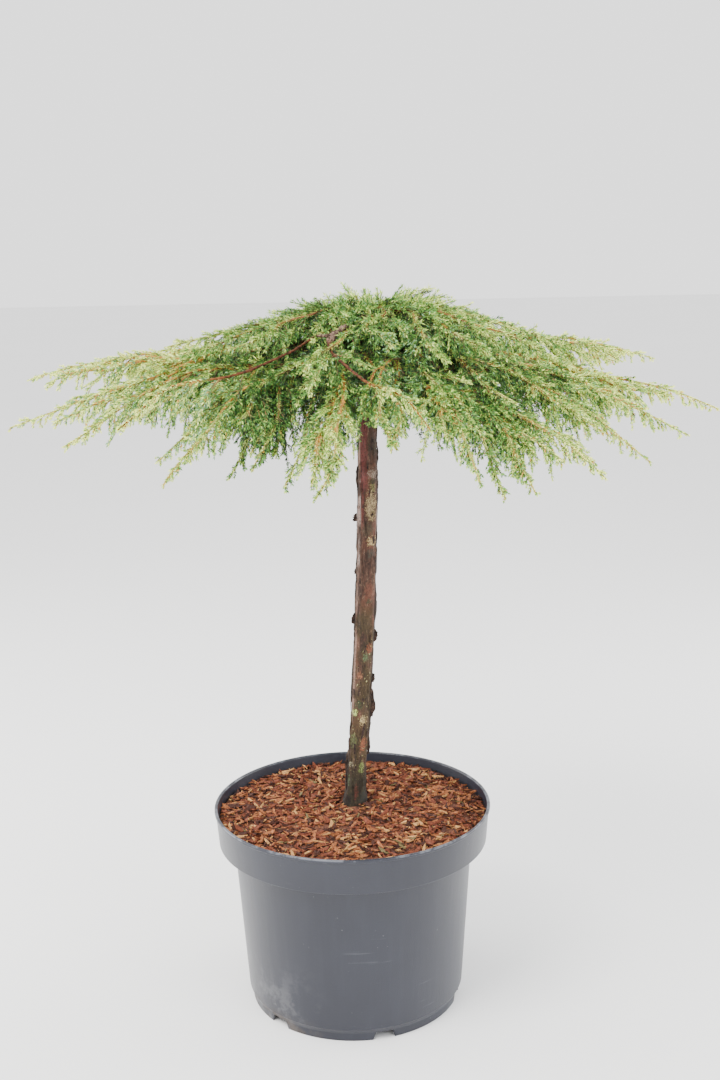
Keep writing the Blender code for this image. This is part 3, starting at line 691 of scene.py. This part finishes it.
def layer_split(azimuth, reach):
    """The height between the lower boughs and the cap's."""
    return cap_surface(azimuth, reach) - LAYER_DEPTH * np.clip(1.0 - (reach / LAYER_REACH) ** 2, 0.0, 1.0)


def wander(chance, parts, size):
    """A slow sideways swing along a limb that is nothing at both its ends."""
    phases = chance.uniform(0.0, 2.0 * math.pi, 3)
    swing = sum(np.sin(parts * (5.0 + 6.0 * k) + phase) / (1.0 + k) for k, phase in enumerate(phases))
    return size * swing * np.sin(math.pi * parts) ** 0.7


def limb_line(azimuth, parts, reach, height, swing):
    """World points of a limb from its reach and height, swung sideways."""
    turn = math.radians(azimuth)
    x = HUB_X + reach * math.cos(turn) - swing * math.sin(turn)
    y = HUB_Y + reach * math.sin(turn) + swing * math.cos(turn)
    return np.stack([x, y, height], axis=-1)


# Two old limbs show on top. One arches over the hub to a knob and falls to the front right, the other runs
# from the knob to the left. Each station is a place and a radius.
OLD_LIMBS = (
    ((0.0200, 0.0060, 0.6600, 0.0020), (0.0150, -0.0450, 0.6800, 0.0018), (0.0051, -0.0865, 0.6919, 0.0031),
     (-0.0029, -0.0976, 0.6884, 0.0019), (-0.0090, -0.1080, 0.6823, 0.0033), (-0.0098, -0.1200, 0.6772, 0.0013),
     (-0.0061, -0.1433, 0.6714, 0.0010), (0.0033, -0.1676, 0.6658, 0.0011), (0.0131, -0.1909, 0.6596, 0.0011),
     (0.0195, -0.2023, 0.6557, 0.0010), (0.0267, -0.2114, 0.6525, 0.0009), (0.0370, -0.2166, 0.6504, 0.0008),
     (0.0440, -0.2231, 0.6478, 0.0008), (0.0540, -0.2332, 0.6416, 0.0007), (0.0620, -0.2467, 0.6320, 0.0007),
     (0.0698, -0.2607, 0.6220, 0.0006)),
    ((-0.0029, -0.0976, 0.6884, 0.0020), (-0.0125, -0.1048, 0.6856, 0.0014), (-0.0215, -0.0970, 0.6852, 0.0013),
     (-0.0293, -0.1044, 0.6816, 0.0010), (-0.0395, -0.1155, 0.6757, 0.0010), (-0.0532, -0.1240, 0.6697, 0.0010),
     (-0.0683, -0.1347, 0.6641, 0.0011), (-0.0825, -0.1427, 0.6592, 0.0011), (-0.1022, -0.1440, 0.6546, 0.0010),
     (-0.1217, -0.1381, 0.6518, 0.0010), (-0.1380, -0.1328, 0.6489, 0.0009), (-0.1534, -0.1289, 0.6436, 0.0008),
     (-0.1648, -0.1429, 0.6351, 0.0008), (-0.1787, -0.1572, 0.6234, 0.0007), (-0.1900, -0.1636, 0.6143, 0.0006)),
)
KNOB_PLACE = (-0.0029, -0.0976, 0.6884)
OLD_BARE_STOPS = ((0, 5, 10), (0, 14, 22), (1, 0, 8), (1, 12, 25))
OLD_FIRST_SHOOTS = (0.135, 0.080)
OPEN_TO = np.array([0.0, -0.995, 0.100])
OPEN_ACROSS = np.array([[1.0, 0.0, 0.0], [0.0, 0.100, 0.995]])
OPEN_HALF_WIDTH = 0.0045
OPEN_DEPTH = 0.050


def old_limb(stations):
    """A smooth run of places and radii through the stations."""
    stations = np.array(stations)
    stand = np.linspace(0.0, len(stations) - 1.0, BOUGH_STOPS)
    before = np.floor(stand).astype(int).clip(0, len(stations) - 2)
    share = (stand - before)[:, None]
    slopes = np.gradient(stations, axis=0)
    blend = share * share * (3.0 - 2.0 * share)
    ease = share * (1.0 - share) ** 2
    settle = -share * share * (1.0 - share)
    return (stations[before] * (1.0 - blend) + stations[before + 1] * blend
            + ease * slopes[before] + settle * slopes[before + 1])


old_limbs = [old_limb(stations) for stations in OLD_LIMBS]
bare = np.concatenate([old_limbs[number][low:high, :3] for number, low, high in OLD_BARE_STOPS])


def hides_old_limbs(points):
    """Which places lie over the bare parts of the old limbs, where those lie open."""
    aside = np.linalg.norm((points @ OPEN_ACROSS.T)[..., None, :] - bare @ OPEN_ACROSS.T, axis=-1)
    in_front = (points @ OPEN_TO)[..., None] - bare @ OPEN_TO
    return ((aside < OPEN_HALF_WIDTH) & (in_front > 0.001) & (in_front < OPEN_DEPTH)).any(axis=-1)


def hides_trunk(points):
    """Which places hang in front of the bare trunk."""
    x, y, z = np.moveaxis(points, -1, 0)
    return (np.abs(x - 0.0235) < 0.0105) & (y < -0.04) & (z < 0.590 - 0.14 * y)


# Each limb's line and radii, where its shoots and its needles begin, and the share of its shoots that
# leave it sideways or below.
limbs = []
for number, (azimuth, full_reach, tip_height) in enumerate(LOWER_BOUGHS.values()):
    chance = np.random.default_rng(300 + number)
    parts = np.linspace(0.0, 1.0, BOUGH_STOPS)
    reach = 0.006 + (full_reach - 0.006) * parts
    root_height = ROOT_LEVELS[number % 3]
    shoulder = SHOULDER_HEIGHT + SHOULDER_LIFT * (tip_height - LOW_TIP)
    climb = np.clip((reach - HUB_RADIUS) / (SHOULDER_REACH - HUB_RADIUS), 0.0, 1.0)
    droop = np.clip((reach - SHOULDER_REACH) / (full_reach - SHOULDER_REACH), 0.0, 1.0)
    height = root_height + (shoulder - root_height) * climb * climb * (3.0 - 2.0 * climb)
    height = height + (tip_height - shoulder) * droop ** DROOP_POWER
    inside = np.minimum(height, layer_split(azimuth, reach) - 0.006)
    height = np.where(reach < LAYER_REACH, inside, height)
    points = limb_line(azimuth, parts, reach, height, wander(chance, parts, 0.0110))
    points[:, 2] += wander(chance, parts, 0.0040)
    radii = 0.0022 * (1.0 - parts) ** 1.6 + 0.00055
    limbs.append((points, radii, 0.050, 0.34, 0.92))
    for hand in (-1.0, 1.0):
        begin = chance.uniform(0.34, 0.56)
        end = chance.uniform(0.70, 0.92)
        stand = begin + (end - begin) * parts
        fork = np.stack([np.interp(stand, parts, column) for column in points.T], axis=-1)
        aside = hand * chance.uniform(0.012, 0.030) * (1.0 - (1.0 - parts) ** 2)
        turn = math.radians(azimuth + 90.0)
        fork += aside[:, None] * np.array([math.cos(turn), math.sin(turn), 0.0])
        fork[:, 2] += chance.uniform(-0.014, 0.002) * parts + wander(chance, parts, 0.003)
        if not hides_trunk(fork).any():
            limbs.append((fork, 0.0007 * (1.0 - parts) + 0.00045, 0.006, 0.08, 0.92))
for number in range(UPPER_BOUGHS + len(FRONT_BOUGHS)):
    chance = np.random.default_rng(500 + number)
    azimuth = number * 360.0 / UPPER_BOUGHS + chance.uniform(-8.0, 8.0)
    full_reach = chance.uniform(0.09, 0.205)
    if number >= UPPER_BOUGHS:
        azimuth, full_reach = FRONT_BOUGHS[number - UPPER_BOUGHS]
    parts = np.linspace(0.0, 1.0, BOUGH_STOPS)
    reach = 0.004 + (full_reach - 0.004) * parts
    surface = cap_surface(azimuth, reach) - 0.005 - 0.012 * chance.random()
    climb = np.clip(parts / 0.32, 0.0, 1.0)
    height = UPPER_ROOT_HEIGHT + (surface - UPPER_ROOT_HEIGHT) * climb * climb * (3.0 - 2.0 * climb)
    points = limb_line(azimuth, parts, reach, height, wander(chance, parts, 0.010))
    points[:, 2] -= hides_old_limbs(points).any() * 0.007 * np.sin(math.pi * parts) ** 0.5
    limbs.append((points, 0.0013 * (1.0 - parts) ** 1.1 + 0.0005, 0.016, 0.16, 0.76))
for number in range(TUFT_BOUGHS):
    chance = np.random.default_rng(600 + number)
    azimuth = number * 360.0 / TUFT_BOUGHS + chance.uniform(-12.0, 12.0)
    parts = np.linspace(0.0, 1.0, BOUGH_STOPS)
    reach = 0.002 + chance.uniform(0.016, 0.075) * parts
    rise = CAP_HEIGHT - 0.006 - 0.012 * chance.random() - CAP_SLOPE * reach - TUFT_ROOT_HEIGHT
    height = TUFT_ROOT_HEIGHT + rise * np.sin(0.5 * math.pi * parts)
    points = limb_line(azimuth, parts, reach, height, wander(chance, parts, 0.004))
    limbs.append((points, 0.0010 * (1.0 - parts) + 0.0005, 0.014, 0.20, 0.60))
for number in range(MIDDLE_BOUGHS):
    chance = np.random.default_rng(700 + number)
    azimuth = (number + 0.5) * 360.0 / MIDDLE_BOUGHS + chance.uniform(-6.0, 6.0)
    full_reach = chance.uniform(0.17, 0.265)
    parts = np.linspace(0.0, 1.0, BOUGH_STOPS)
    reach = 0.006 + (full_reach - 0.006) * parts
    surface = cap_surface(azimuth, reach) - 0.022 - 0.014 * chance.random() - 0.010 * parts
    climb = np.clip(parts / 0.34, 0.0, 1.0)
    height = MIDDLE_ROOT_HEIGHT + (surface - MIDDLE_ROOT_HEIGHT) * climb * climb * (3.0 - 2.0 * climb)
    points = limb_line(azimuth, parts, reach, height, wander(chance, parts, 0.012))
    limbs.append((points, 0.0014 * (1.0 - parts) ** 1.2 + 0.0005, 0.034, 0.24, 0.86))
for run, first_shoot in zip(old_limbs, OLD_FIRST_SHOOTS):
    limbs.append((run[:, :3], run[:, 3], first_shoot, 0.62, 0.9))


def unit(vectors):
    """Vectors scaled to length one."""
    return vectors / np.maximum(np.linalg.norm(vectors, axis=-1, keepdims=True), 1e-9)


def tube_arrays(lines, radii, sides, roughen=0.0, seed=0):
    """Points and quads of tubes along lines of equally many stops: lines (n, k, 3), radii (n, k)."""
    ahead = unit(np.gradient(lines, axis=1))
    mean = unit(ahead.mean(axis=1))
    guide = np.where(np.abs(mean[:, 2:3]) < 0.8, np.array([[0.0, 0.0, 1.0]]), np.array([[1.0, 0.0, 0.0]]))
    side = unit(np.cross(ahead, guide[:, None]))
    top = np.cross(side, ahead)
    turns = np.linspace(0.0, 2.0 * math.pi, sides, endpoint=False)
    width = radii[..., None]
    if roughen:
        width = width * (1.0 + roughen * (np.random.default_rng(seed).random((*radii.shape, sides)) - 0.5))
    ring = (side[:, :, None] * np.cos(turns)[None, None, :, None] + top[:, :, None] * np.sin(turns)[None, None, :, None])
    points = lines[:, :, None] + ring * width[..., None]
    return points.reshape(-1, 3), tube_faces(lines.shape[1], sides, len(lines))


def refined(points, count):
    """A line with its stops spread again, smoothly, over more of them."""
    old = np.linspace(0.0, 1.0, len(points))
    new = np.linspace(0.0, 1.0, count)
    return np.stack([np.interp(new, old, column) for column in points.T], axis=-1)


bough_bark, shader, place = start_finish("bough_bark")
scales = place.noise(330.0, 4.0, 0.65)
patches = place.noise(46.0, 3.0)
color = scales.node("ShaderNodeValToRGB", {"stops": [
    (0.32, (0.090, 0.034, 0.010)), (0.46, (0.260, 0.105, 0.020)), (0.58, (0.430, 0.200, 0.032)),
    (0.72, (0.580, 0.340, 0.080)),
]}, {0: scales})
color = (patches.step(0.52, 0.66) * 0.6).mixed(color, (0.200, 0.062, 0.026, 1.0))
from_hub = place.node("ShaderNodeVectorMath", {"operation": "DISTANCE"}, {0: place, 1: (HUB_X, HUB_Y, HUB_HEIGHT)}, 1)
old = (from_hub + patches * 0.05).step(0.200, 0.110)
color = (old * 0.9).mixed(color, scales.step(0.36, 0.66).mixed((0.026, 0.012, 0.008, 1.0), (0.170, 0.078, 0.044, 1.0)))
feed(shader, Base_Color=color, Roughness=0.62 + patches * 0.2, Specular_IOR_Level=0.3,
     Normal=relief(scales, 0.0007))
lines = np.stack([refined(limb[0], BOUGH_RINGS) for limb in limbs])
thickness = np.stack([refined(limb[1][:, None], BOUGH_RINGS)[:, 0] for limb in limbs])
points, faces = tube_arrays(lines[:-2, :GREEN_RING + 1], thickness[:-2, :GREEN_RING + 1], BOUGH_SIDES, 0.35, 9)
boughs = mesh_piece("boughs", points, faces, bough_bark)
old_bark, shader, place = start_finish("old_bark")
scales = place.noise(330.0, 4.0, 0.65)
from_knob = place.node("ShaderNodeVectorMath", {"operation": "DISTANCE"}, {0: place, 1: KNOB_PLACE}, 1)
shaded = scales.step(0.36, 0.66).mixed((0.022, 0.009, 0.005, 1.0), (0.125, 0.042, 0.018, 1.0))
sunlit = scales.step(0.36, 0.66).mixed((0.090, 0.027, 0.008, 1.0), (0.350, 0.130, 0.030, 1.0))
color = (from_knob + place.noise(60.0) * 0.06).step(0.110, 0.210).mixed(shaded, sunlit)
knob = from_knob.step(0.024, 0.014)
color = (knob * 0.85).mixed(color, scales.step(0.40, 0.68).mixed((0.040, 0.024, 0.017, 1.0), (0.290, 0.195, 0.140, 1.0)))
feed(shader, Base_Color=color, Roughness=0.8, Specular_IOR_Level=0.15, Normal=relief(scales, 0.0012))
old_lines = np.stack([refined(run[:, :3], 150) for run in old_limbs])
old_radii = np.stack([refined(run[:, 3:], 150)[:, 0] for run in old_limbs])
points, faces = tube_arrays(old_lines, old_radii, 12, 0.70, 10)
mesh_piece("old_boughs", points, faces, old_bark)
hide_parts(*[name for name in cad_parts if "bough_" in name])

# The shoots: side twigs that stand off each bough in two ranks or hang under it, and smaller ones off
# those. They are soft green to tan wood, and each carries its needles in whorls of three.

TIP_SPACING = 0.0027
OUTER_SPACING = 0.0035
INNER_SPACING = 0.0050
SIDE_STOPS = 6
FINE_STOPS = 18
SMALL_SPACING = 0.0042
SMALL_STOPS = 3
SMALL_ANGLE = 0.60
SEEN_LENGTH = 0.0045


def grow(starts, heading, lengths, stops, pull, droop, chance, stray):
    """Curved lines that leave their starts along their headings, bend with pull and sink with droop."""
    points = [starts]
    ahead = unit(heading)
    step = (lengths / (stops - 1))[:, None]
    down = np.array([0.0, 0.0, -1.0])
    for _ in range(stops - 1):
        points.append(points[-1] + ahead * step)
        ahead = unit(ahead + pull + droop[:, None] * down + stray * chance.normal(0.0, 1.0, starts.shape))
    return np.stack(points, axis=1)


def places_on(lines, owners, stand):
    """Points and headings on lines, at stands counted in stops."""
    low = np.clip(np.floor(stand).astype(int), 0, lines.shape[1] - 2)
    share = (stand - low)[..., None]
    before = lines[owners, low]
    after = lines[owners, low + 1]
    return before * (1.0 - share) + after * share, unit(after - before)


chance = np.random.default_rng(77)
starts, headings, lengths, pulls, droops, tipwards = [], [], [], [], [], []
for line, _, first, _, low_share in limbs:
    spans = np.linalg.norm(np.diff(line, axis=0), axis=1)
    run = np.concatenate([[0.0], np.cumsum(spans)])
    stands = [first]
    while stands[-1] < run[-1] - 0.004:
        outer = stands[-1] > 0.45 * run[-1] or run[-1] < 0.16
        spacing = TIP_SPACING if stands[-1] > 0.80 * run[-1] else OUTER_SPACING if outer else INNER_SPACING
        stands.append(stands[-1] + spacing * chance.uniform(0.7, 1.3))
    for index, stand in enumerate(stands):
        part = stand / run[-1]
        start = np.array([np.interp(stand, run, line[:, axis]) for axis in range(3)])
        after = np.array([np.interp(stand + 0.006, run, line[:, axis]) for axis in range(3)])
        before = np.array([np.interp(stand - 0.006, run, line[:, axis]) for axis in range(3)])
        ahead = unit(after - before)
        side = unit(np.cross(ahead, (0.0, 0.0, 1.0)))
        top = np.cross(side, ahead)
        kind = chance.random()
        if kind < 0.56:
            roll = (0.0 if index % 2 else math.pi) + chance.normal(0.0, 0.5)
        elif kind < low_share:
            roll = -0.5 * math.pi + chance.normal(0.0, 0.6)
        else:
            roll = 0.5 * math.pi + chance.normal(0.0, 0.5)
        outward = side * math.cos(roll) + top * math.sin(roll)
        under = math.sin(roll) < -0.5
        over = math.sin(roll) > 0.35
        spread = chance.normal(0.42, 0.12) if over else chance.normal(0.76, 0.18) * (1.0 - (0.1 if under else 0.4) * part)
        spread = np.clip(spread, 0.2, 1.2)
        shape = min(1.0, 0.45 + 1.6 * part) * min(1.0, (1.0 - part) * 2.1 + 0.13)
        full = 0.058 if under else 0.060 - 0.022 * min(max((part - 0.4) / 0.4, 0.0), 1.0)
        length = (0.046 if first == 0.016 else full) * shape * chance.uniform(0.45, 1.15)
        if over:
            length = min(length, 0.024 if part < 0.5 else 0.012)
        if under:
            length = length * (0.85 - 0.35 * max((part - 0.6) / 0.4, 0.0))
        sink = (0.20, 0.52) if under else (-0.02, 0.08) if over else (0.06, 0.34)
        starts.append(start)
        headings.append(ahead * math.cos(spread) + outward * math.sin(spread))
        lengths.append(length)
        pulls.append((0.02 if under else 0.08) * ahead)
        droops.append(chance.uniform(*sink))
        tipwards.append(min(max((part - 0.45) / 0.45, 0.0), 1.0) * (0.5 if 0.010 < first < 0.040 else 1.0))
lengths = np.array(lengths)
side_lines = grow(np.array(starts), np.array(headings), lengths, SIDE_STOPS, np.array(pulls), np.array(droops),
                  chance, 0.07)

# Shoots stop short where the old limbs lie open, in front of the bare trunk, and high above the crown.
rows = np.arange(len(side_lines))[:, None]
fine_lines = places_on(side_lines, rows, np.tile(np.linspace(0.0, SIDE_STOPS - 1.0, FINE_STOPS), (len(rows), 1)))[0]
x, y, z = np.moveaxis(fine_lines, -1, 0)
blocked = hides_old_limbs(fine_lines)
blocked |= hides_trunk(fine_lines)
reach = np.hypot(x - HUB_X, y - HUB_Y)
blocked |= (reach < 0.2) & (z > CAP_HEIGHT + 0.012 - CAP_SLOPE * reach - CAP_CURVE * reach * reach)
end = np.where(blocked.any(axis=1), np.maximum(blocked.argmax(axis=1) - 0.6, 0.0), FINE_STOPS - 1.0) / (FINE_STOPS - 1.0)
side_lines = places_on(side_lines, rows, end[:, None] * np.linspace(0.0, SIDE_STOPS - 1.0, SIDE_STOPS))[0]
lengths = lengths * end
side_lines = side_lines[lengths > 0.004]
tipward = np.array(tipwards)[lengths > 0.004]
lengths = lengths[lengths > 0.004]
side_parts = np.linspace(0.0, 1.0, SIDE_STOPS)
side_radii = (0.0004 + 0.0070 * lengths)[:, None] * (1.0 - 0.75 * side_parts)[None]

owners, fractions = [], []
for index, length in enumerate(lengths):
    count = int(length * 0.80 / SMALL_SPACING)
    owners += [index] * count
    fractions += list((np.arange(count) + 0.5 + chance.uniform(-0.2, 0.2, count)) / max(count, 1) * 0.84 + 0.08)
owners = np.array(owners)
fractions = np.clip(np.array(fractions), 0.03, 0.97)
small_starts, ahead = places_on(side_lines, owners, fractions * (SIDE_STOPS - 1))
side = unit(np.cross(ahead, np.array([[0.0, 0.0, 1.0]])) + 1e-6)
top = np.cross(side, ahead)
roll = np.where(np.arange(len(owners)) % 2, 0.0, math.pi) + chance.normal(0.0, 0.55, len(owners))
outward = side * np.cos(roll)[:, None] + top * np.sin(roll)[:, None]
spread = chance.normal(SMALL_ANGLE, 0.12, len(owners))[:, None]
small_heading = ahead * np.cos(spread) + outward * np.sin(spread)
small_lengths = (0.0035 + 0.24 * lengths[owners] * (1.0 - fractions)) * chance.uniform(0.5, 1.2, len(owners))
small_lengths = np.clip(small_lengths, 0.0028, 0.015)
small_lines = grow(small_starts, small_heading, small_lengths, SMALL_STOPS, 0.20 * ahead,
                   chance.uniform(0.0, 0.16, len(owners)), chance, 0.05)
small_radii = np.repeat(np.linspace(0.00050, 0.0003, SMALL_STOPS)[None], len(owners), axis=0)

twig_wood, shader, place = start_finish("twig_wood")
patches = place.noise(60.0, 3.0)
color = patches.step(0.42, 0.60).mixed((0.380, 0.190, 0.050, 1.0), (0.220, 0.250, 0.060, 1.0))
from_hub = place.node("ShaderNodeVectorMath", {"operation": "DISTANCE"}, {0: place, 1: (HUB_X, HUB_Y, HUB_HEIGHT)}, 1)
color = from_hub.step(0.240, 0.140).mixed(color, (0.110, 0.062, 0.022, 1.0))
feed(shader, Base_Color=color, Roughness=0.6 + patches * 0.2, Normal=relief(place.noise(900.0), 0.0003))
wood_stops = [0, 2, 5]
points, faces = tube_arrays(side_lines[:, wood_stops], side_radii[:, wood_stops], 3)
mesh_piece("side_twigs", points, faces, twig_wood)
points, faces = tube_arrays(lines[:-2, GREEN_RING:], thickness[:-2, GREEN_RING:], 5)
mesh_piece("bough_tips", points, faces, twig_wood)
green_wood, shader, place = start_finish("green_wood")
patches = place.noise(80.0, 3.0)
color = patches.step(0.40, 0.62).mixed((0.130, 0.200, 0.045, 1.0), (0.220, 0.190, 0.060, 1.0))
feed(shader, Base_Color=color, Roughness=0.6 + patches * 0.2, Normal=relief(place.noise(900.0), 0.0003))
seen = small_lengths > SEEN_LENGTH
points, faces = tube_arrays(small_lines[seen, ::2], small_radii[seen, ::2], 3)
mesh_piece("small_twigs", points, faces, green_wood)

# The needles: stiff awl-shaped leaves of a juniper, 5 to 8 mm long, in whorls of three that point
# forward along the shoot. Inner ones are dark, partly as older needles and partly as painted shade; young tips are
# yellow-green, paler still in the outer crown and at its left and right sides as painted light; and some are bluish.

INNER_WHORL_SPACING = 0.0022
OUTER_WHORL_SPACING = 0.0016
PIECE_LIMIT = 190000
NEEDLE_LENGTH = 0.0038
INNER_WIDTH = 0.0011
OUTER_WIDTH = 0.0015
NEEDLE_SHADES = {
    "dark": (0.010, 0.036, 0.008),
    "deep": (0.036, 0.126, 0.022),
    "mid": (0.140, 0.330, 0.058),
    "fresh": (0.460, 0.620, 0.120),
    "tip": (0.820, 0.900, 0.260),
    "blue": (0.230, 0.450, 0.210),
    "straw": (0.580, 0.310, 0.050),
}
SHADE_STEPS = (0.12, 0.32, 0.57, 0.88)
NEEDLE_FACES = np.array([(0, 2, 3), (0, 3, 1)])


def outwardness(points):
    """From 0 in the middle of the crown to 1 in its outer part."""
    return np.clip((np.hypot(points[:, 0] - HUB_X, points[:, 1] - HUB_Y) - 0.12) / 0.12, 0.0, 1.0)


def along_lines(lines, lengths, low):
    """Whorl places on lines: the line's number, the share of its length, the point and the heading."""
    outer = outwardness(lines[:, lines.shape[1] // 2])
    spacing = INNER_WHORL_SPACING + (OUTER_WHORL_SPACING - INNER_WHORL_SPACING) * outer
    counts = np.maximum((lengths * (1.0 - low) / spacing).astype(int), 1)
    number = np.repeat(np.arange(len(lines)), counts)
    order = np.arange(len(number)) - np.repeat(np.cumsum(counts) - counts, counts)
    share = low[number] + (1.0 - low[number]) * (order + 0.6) / counts[number]
    point, heading = places_on(lines, number, share * (lines.shape[1] - 1))
    return number, share, point, heading


def needle_arrays(point, heading, share, openness, length, outer, chance):
    """Three awl-shaped needles at each whorl, each folded along its midrib: points (3n, 4, 3)."""
    side = unit(np.cross(heading, np.array([[0.13, 0.21, 0.97]])))
    top = np.cross(side, heading)
    base_turn = chance.uniform(0.0, 2.0 * math.pi, len(point))
    done = []
    for third in range(3):
        turn = base_turn + third * 2.0 * math.pi / 3.0 + chance.normal(0.0, 0.2, len(point))
        outward = side * np.cos(turn)[:, None] + top * np.sin(turn)[:, None]
        lean = 0.54 + 0.30 * openness - 0.14 * outer - 0.18 * share ** 3 + chance.normal(0.0, 0.12, len(point))
        lean = np.clip(lean, 0.15, 1.2)[:, None]
        along = heading * np.cos(lean) + outward * np.sin(lean)
        size = (length * chance.uniform(0.8, 1.15, len(point)))[:, None]
        width = INNER_WIDTH + (OUTER_WIDTH - INNER_WIDTH) * outer[:, None]
        across = unit(np.cross(along, outward)) * width * 0.5
        belly = point + along * size * 0.34 + np.cross(across, along) * 0.55
        done.append(np.stack([point, belly + across, belly - across, point + along * size], axis=1))
    return np.concatenate(done)


def paleness_and_painted_light(lines, tipward, chance):
    """How pale a spray is: darker the deeper it lies in the crown, as older needles and as painted shade;
    paler in the outer crown and near its limb's tip, as young growth and as painted light, and paler again
    towards the crown's left and right sides as seen, which is painted light; and from slow changes over the crown."""
    middle = lines[:, -1]
    reach = np.hypot(middle[:, 0] - HUB_X, middle[:, 1] - HUB_Y)
    surface = CAP_HEIGHT - CAP_SLOPE * reach - CAP_CURVE * reach * reach
    # The outer crown and the limbs' tips are paler, partly as young growth and partly as painted light.
    outer = np.maximum(np.clip((reach - 0.08) / 0.16, 0.0, 1.0), 0.9 * tipward)
    # Painted light: sprays towards the crown's left and right sides as seen are paler.
    beside = np.clip((np.abs(middle[:, 0] - HUB_X) - 0.08) / 0.14, 0.0, 1.0)
    # Painted shade, partly older needles: sprays deep below the crown's surface are darker, less so in the outer crown.
    depth = np.clip((surface - middle[:, 2]) / 0.068, 0.0, 0.78) * (1.0 - 0.70 * outer)
    patch = lattice(middle[:, 0] + 0.5, middle[:, 1] + 0.5, 14, 14, 90) - 0.5
    return (0.47 - 0.70 * depth + (0.22 + 0.22 * beside) * outer + 0.40 * patch
            + chance.normal(0.0, 0.20, len(lines)) * (1.0 - 0.4 * outer))


side_light = paleness_and_painted_light(side_lines, tipward, chance)
small_light = 0.6 * side_light[owners] + 0.4 * paleness_and_painted_light(small_lines, tipward[owners], chance)
side_openness = chance.random(len(side_lines)) ** 1.5
bare_parts = np.array([limb[3] for limb in limbs])
limb_lengths = np.linalg.norm(np.diff(lines, axis=1), axis=2).sum(axis=1)
needle_points, needle_shade = [], []
for spray_lines, spray_lengths, spray_light, low, openness, straw in (
    (lines, 1.5 * limb_lengths, np.full(len(lines), 0.72), bare_parts, np.full(len(lines), 0.7), 0.55),
    (side_lines, lengths, side_light, np.full(len(side_lines), 0.18), side_openness, 0.16),
    (small_lines, small_lengths, small_light, np.full(len(owners), 0.05), side_openness[owners], 0.0),
):
    number, share, point, heading = along_lines(spray_lines, spray_lengths, low)
    weak = np.arange(len(share)) % 2
    outer = outwardness(point)
    length = NEEDLE_LENGTH * (0.88 + 0.30 * openness[number]) * (1.0 - 0.30 * share ** 2)
    length = length * (1.12 - 0.34 * weak) * (1.30 - 0.36 * outer)
    needle_points.append(needle_arrays(point, heading, share, openness[number], length, outer, chance))
    # Needles towards a shoot's tip are paler, as young growth; the short whorls are darker, as painted shade between
    # the longer ones.
    light = spray_light[number] + 0.30 * (share - 0.45) + 0.07 - 0.14 * weak
    light = np.tile(light, 3) + chance.normal(0.0, 1.0, 3 * len(share)) * np.tile(0.13 + 0.08 * outer, 3)
    shade = np.digitize(light, SHADE_STEPS)
    cold = np.tile(lattice(point[:, 0] + 0.5, point[:, 1] + 0.5, 11, 11, 91), 3)
    blue = (chance.random(len(shade)) < np.clip((cold - 0.50) * 1.6, 0.04, 0.45)) & (shade > 0) & (shade < 4)
    shade = np.where(blue, 5, shade)
    dry = straw * np.tile(outer * (share < 0.75), 3) * (light > 0.45)
    needle_shade.append(np.where(chance.random(len(shade)) < dry, 6, shade))
needle_points = np.concatenate(needle_points)
needle_shade = np.concatenate(needle_shade)
for shade, (name, color) in enumerate(NEEDLE_SHADES.items()):
    finish, shader, place = start_finish(f"needles_{name}")
    feed(shader, Base_Color=(*color, 1.0), Roughness=0.45, Specular_IOR_Level=0.4)
    dealt = needle_points[needle_shade == shade]
    for half, points in enumerate(np.array_split(dealt, 1 + 2 * len(dealt) // PIECE_LIMIT)):
        faces = NEEDLE_FACES[None] + 4 * np.arange(len(points))[:, None, None]
        mesh_piece(f"needles_{name}_{half + 1}", points.reshape(-1, 3), faces.reshape(-1, 3),
                                        finish, smooth=False)
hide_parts(*[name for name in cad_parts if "foliage_" in name])
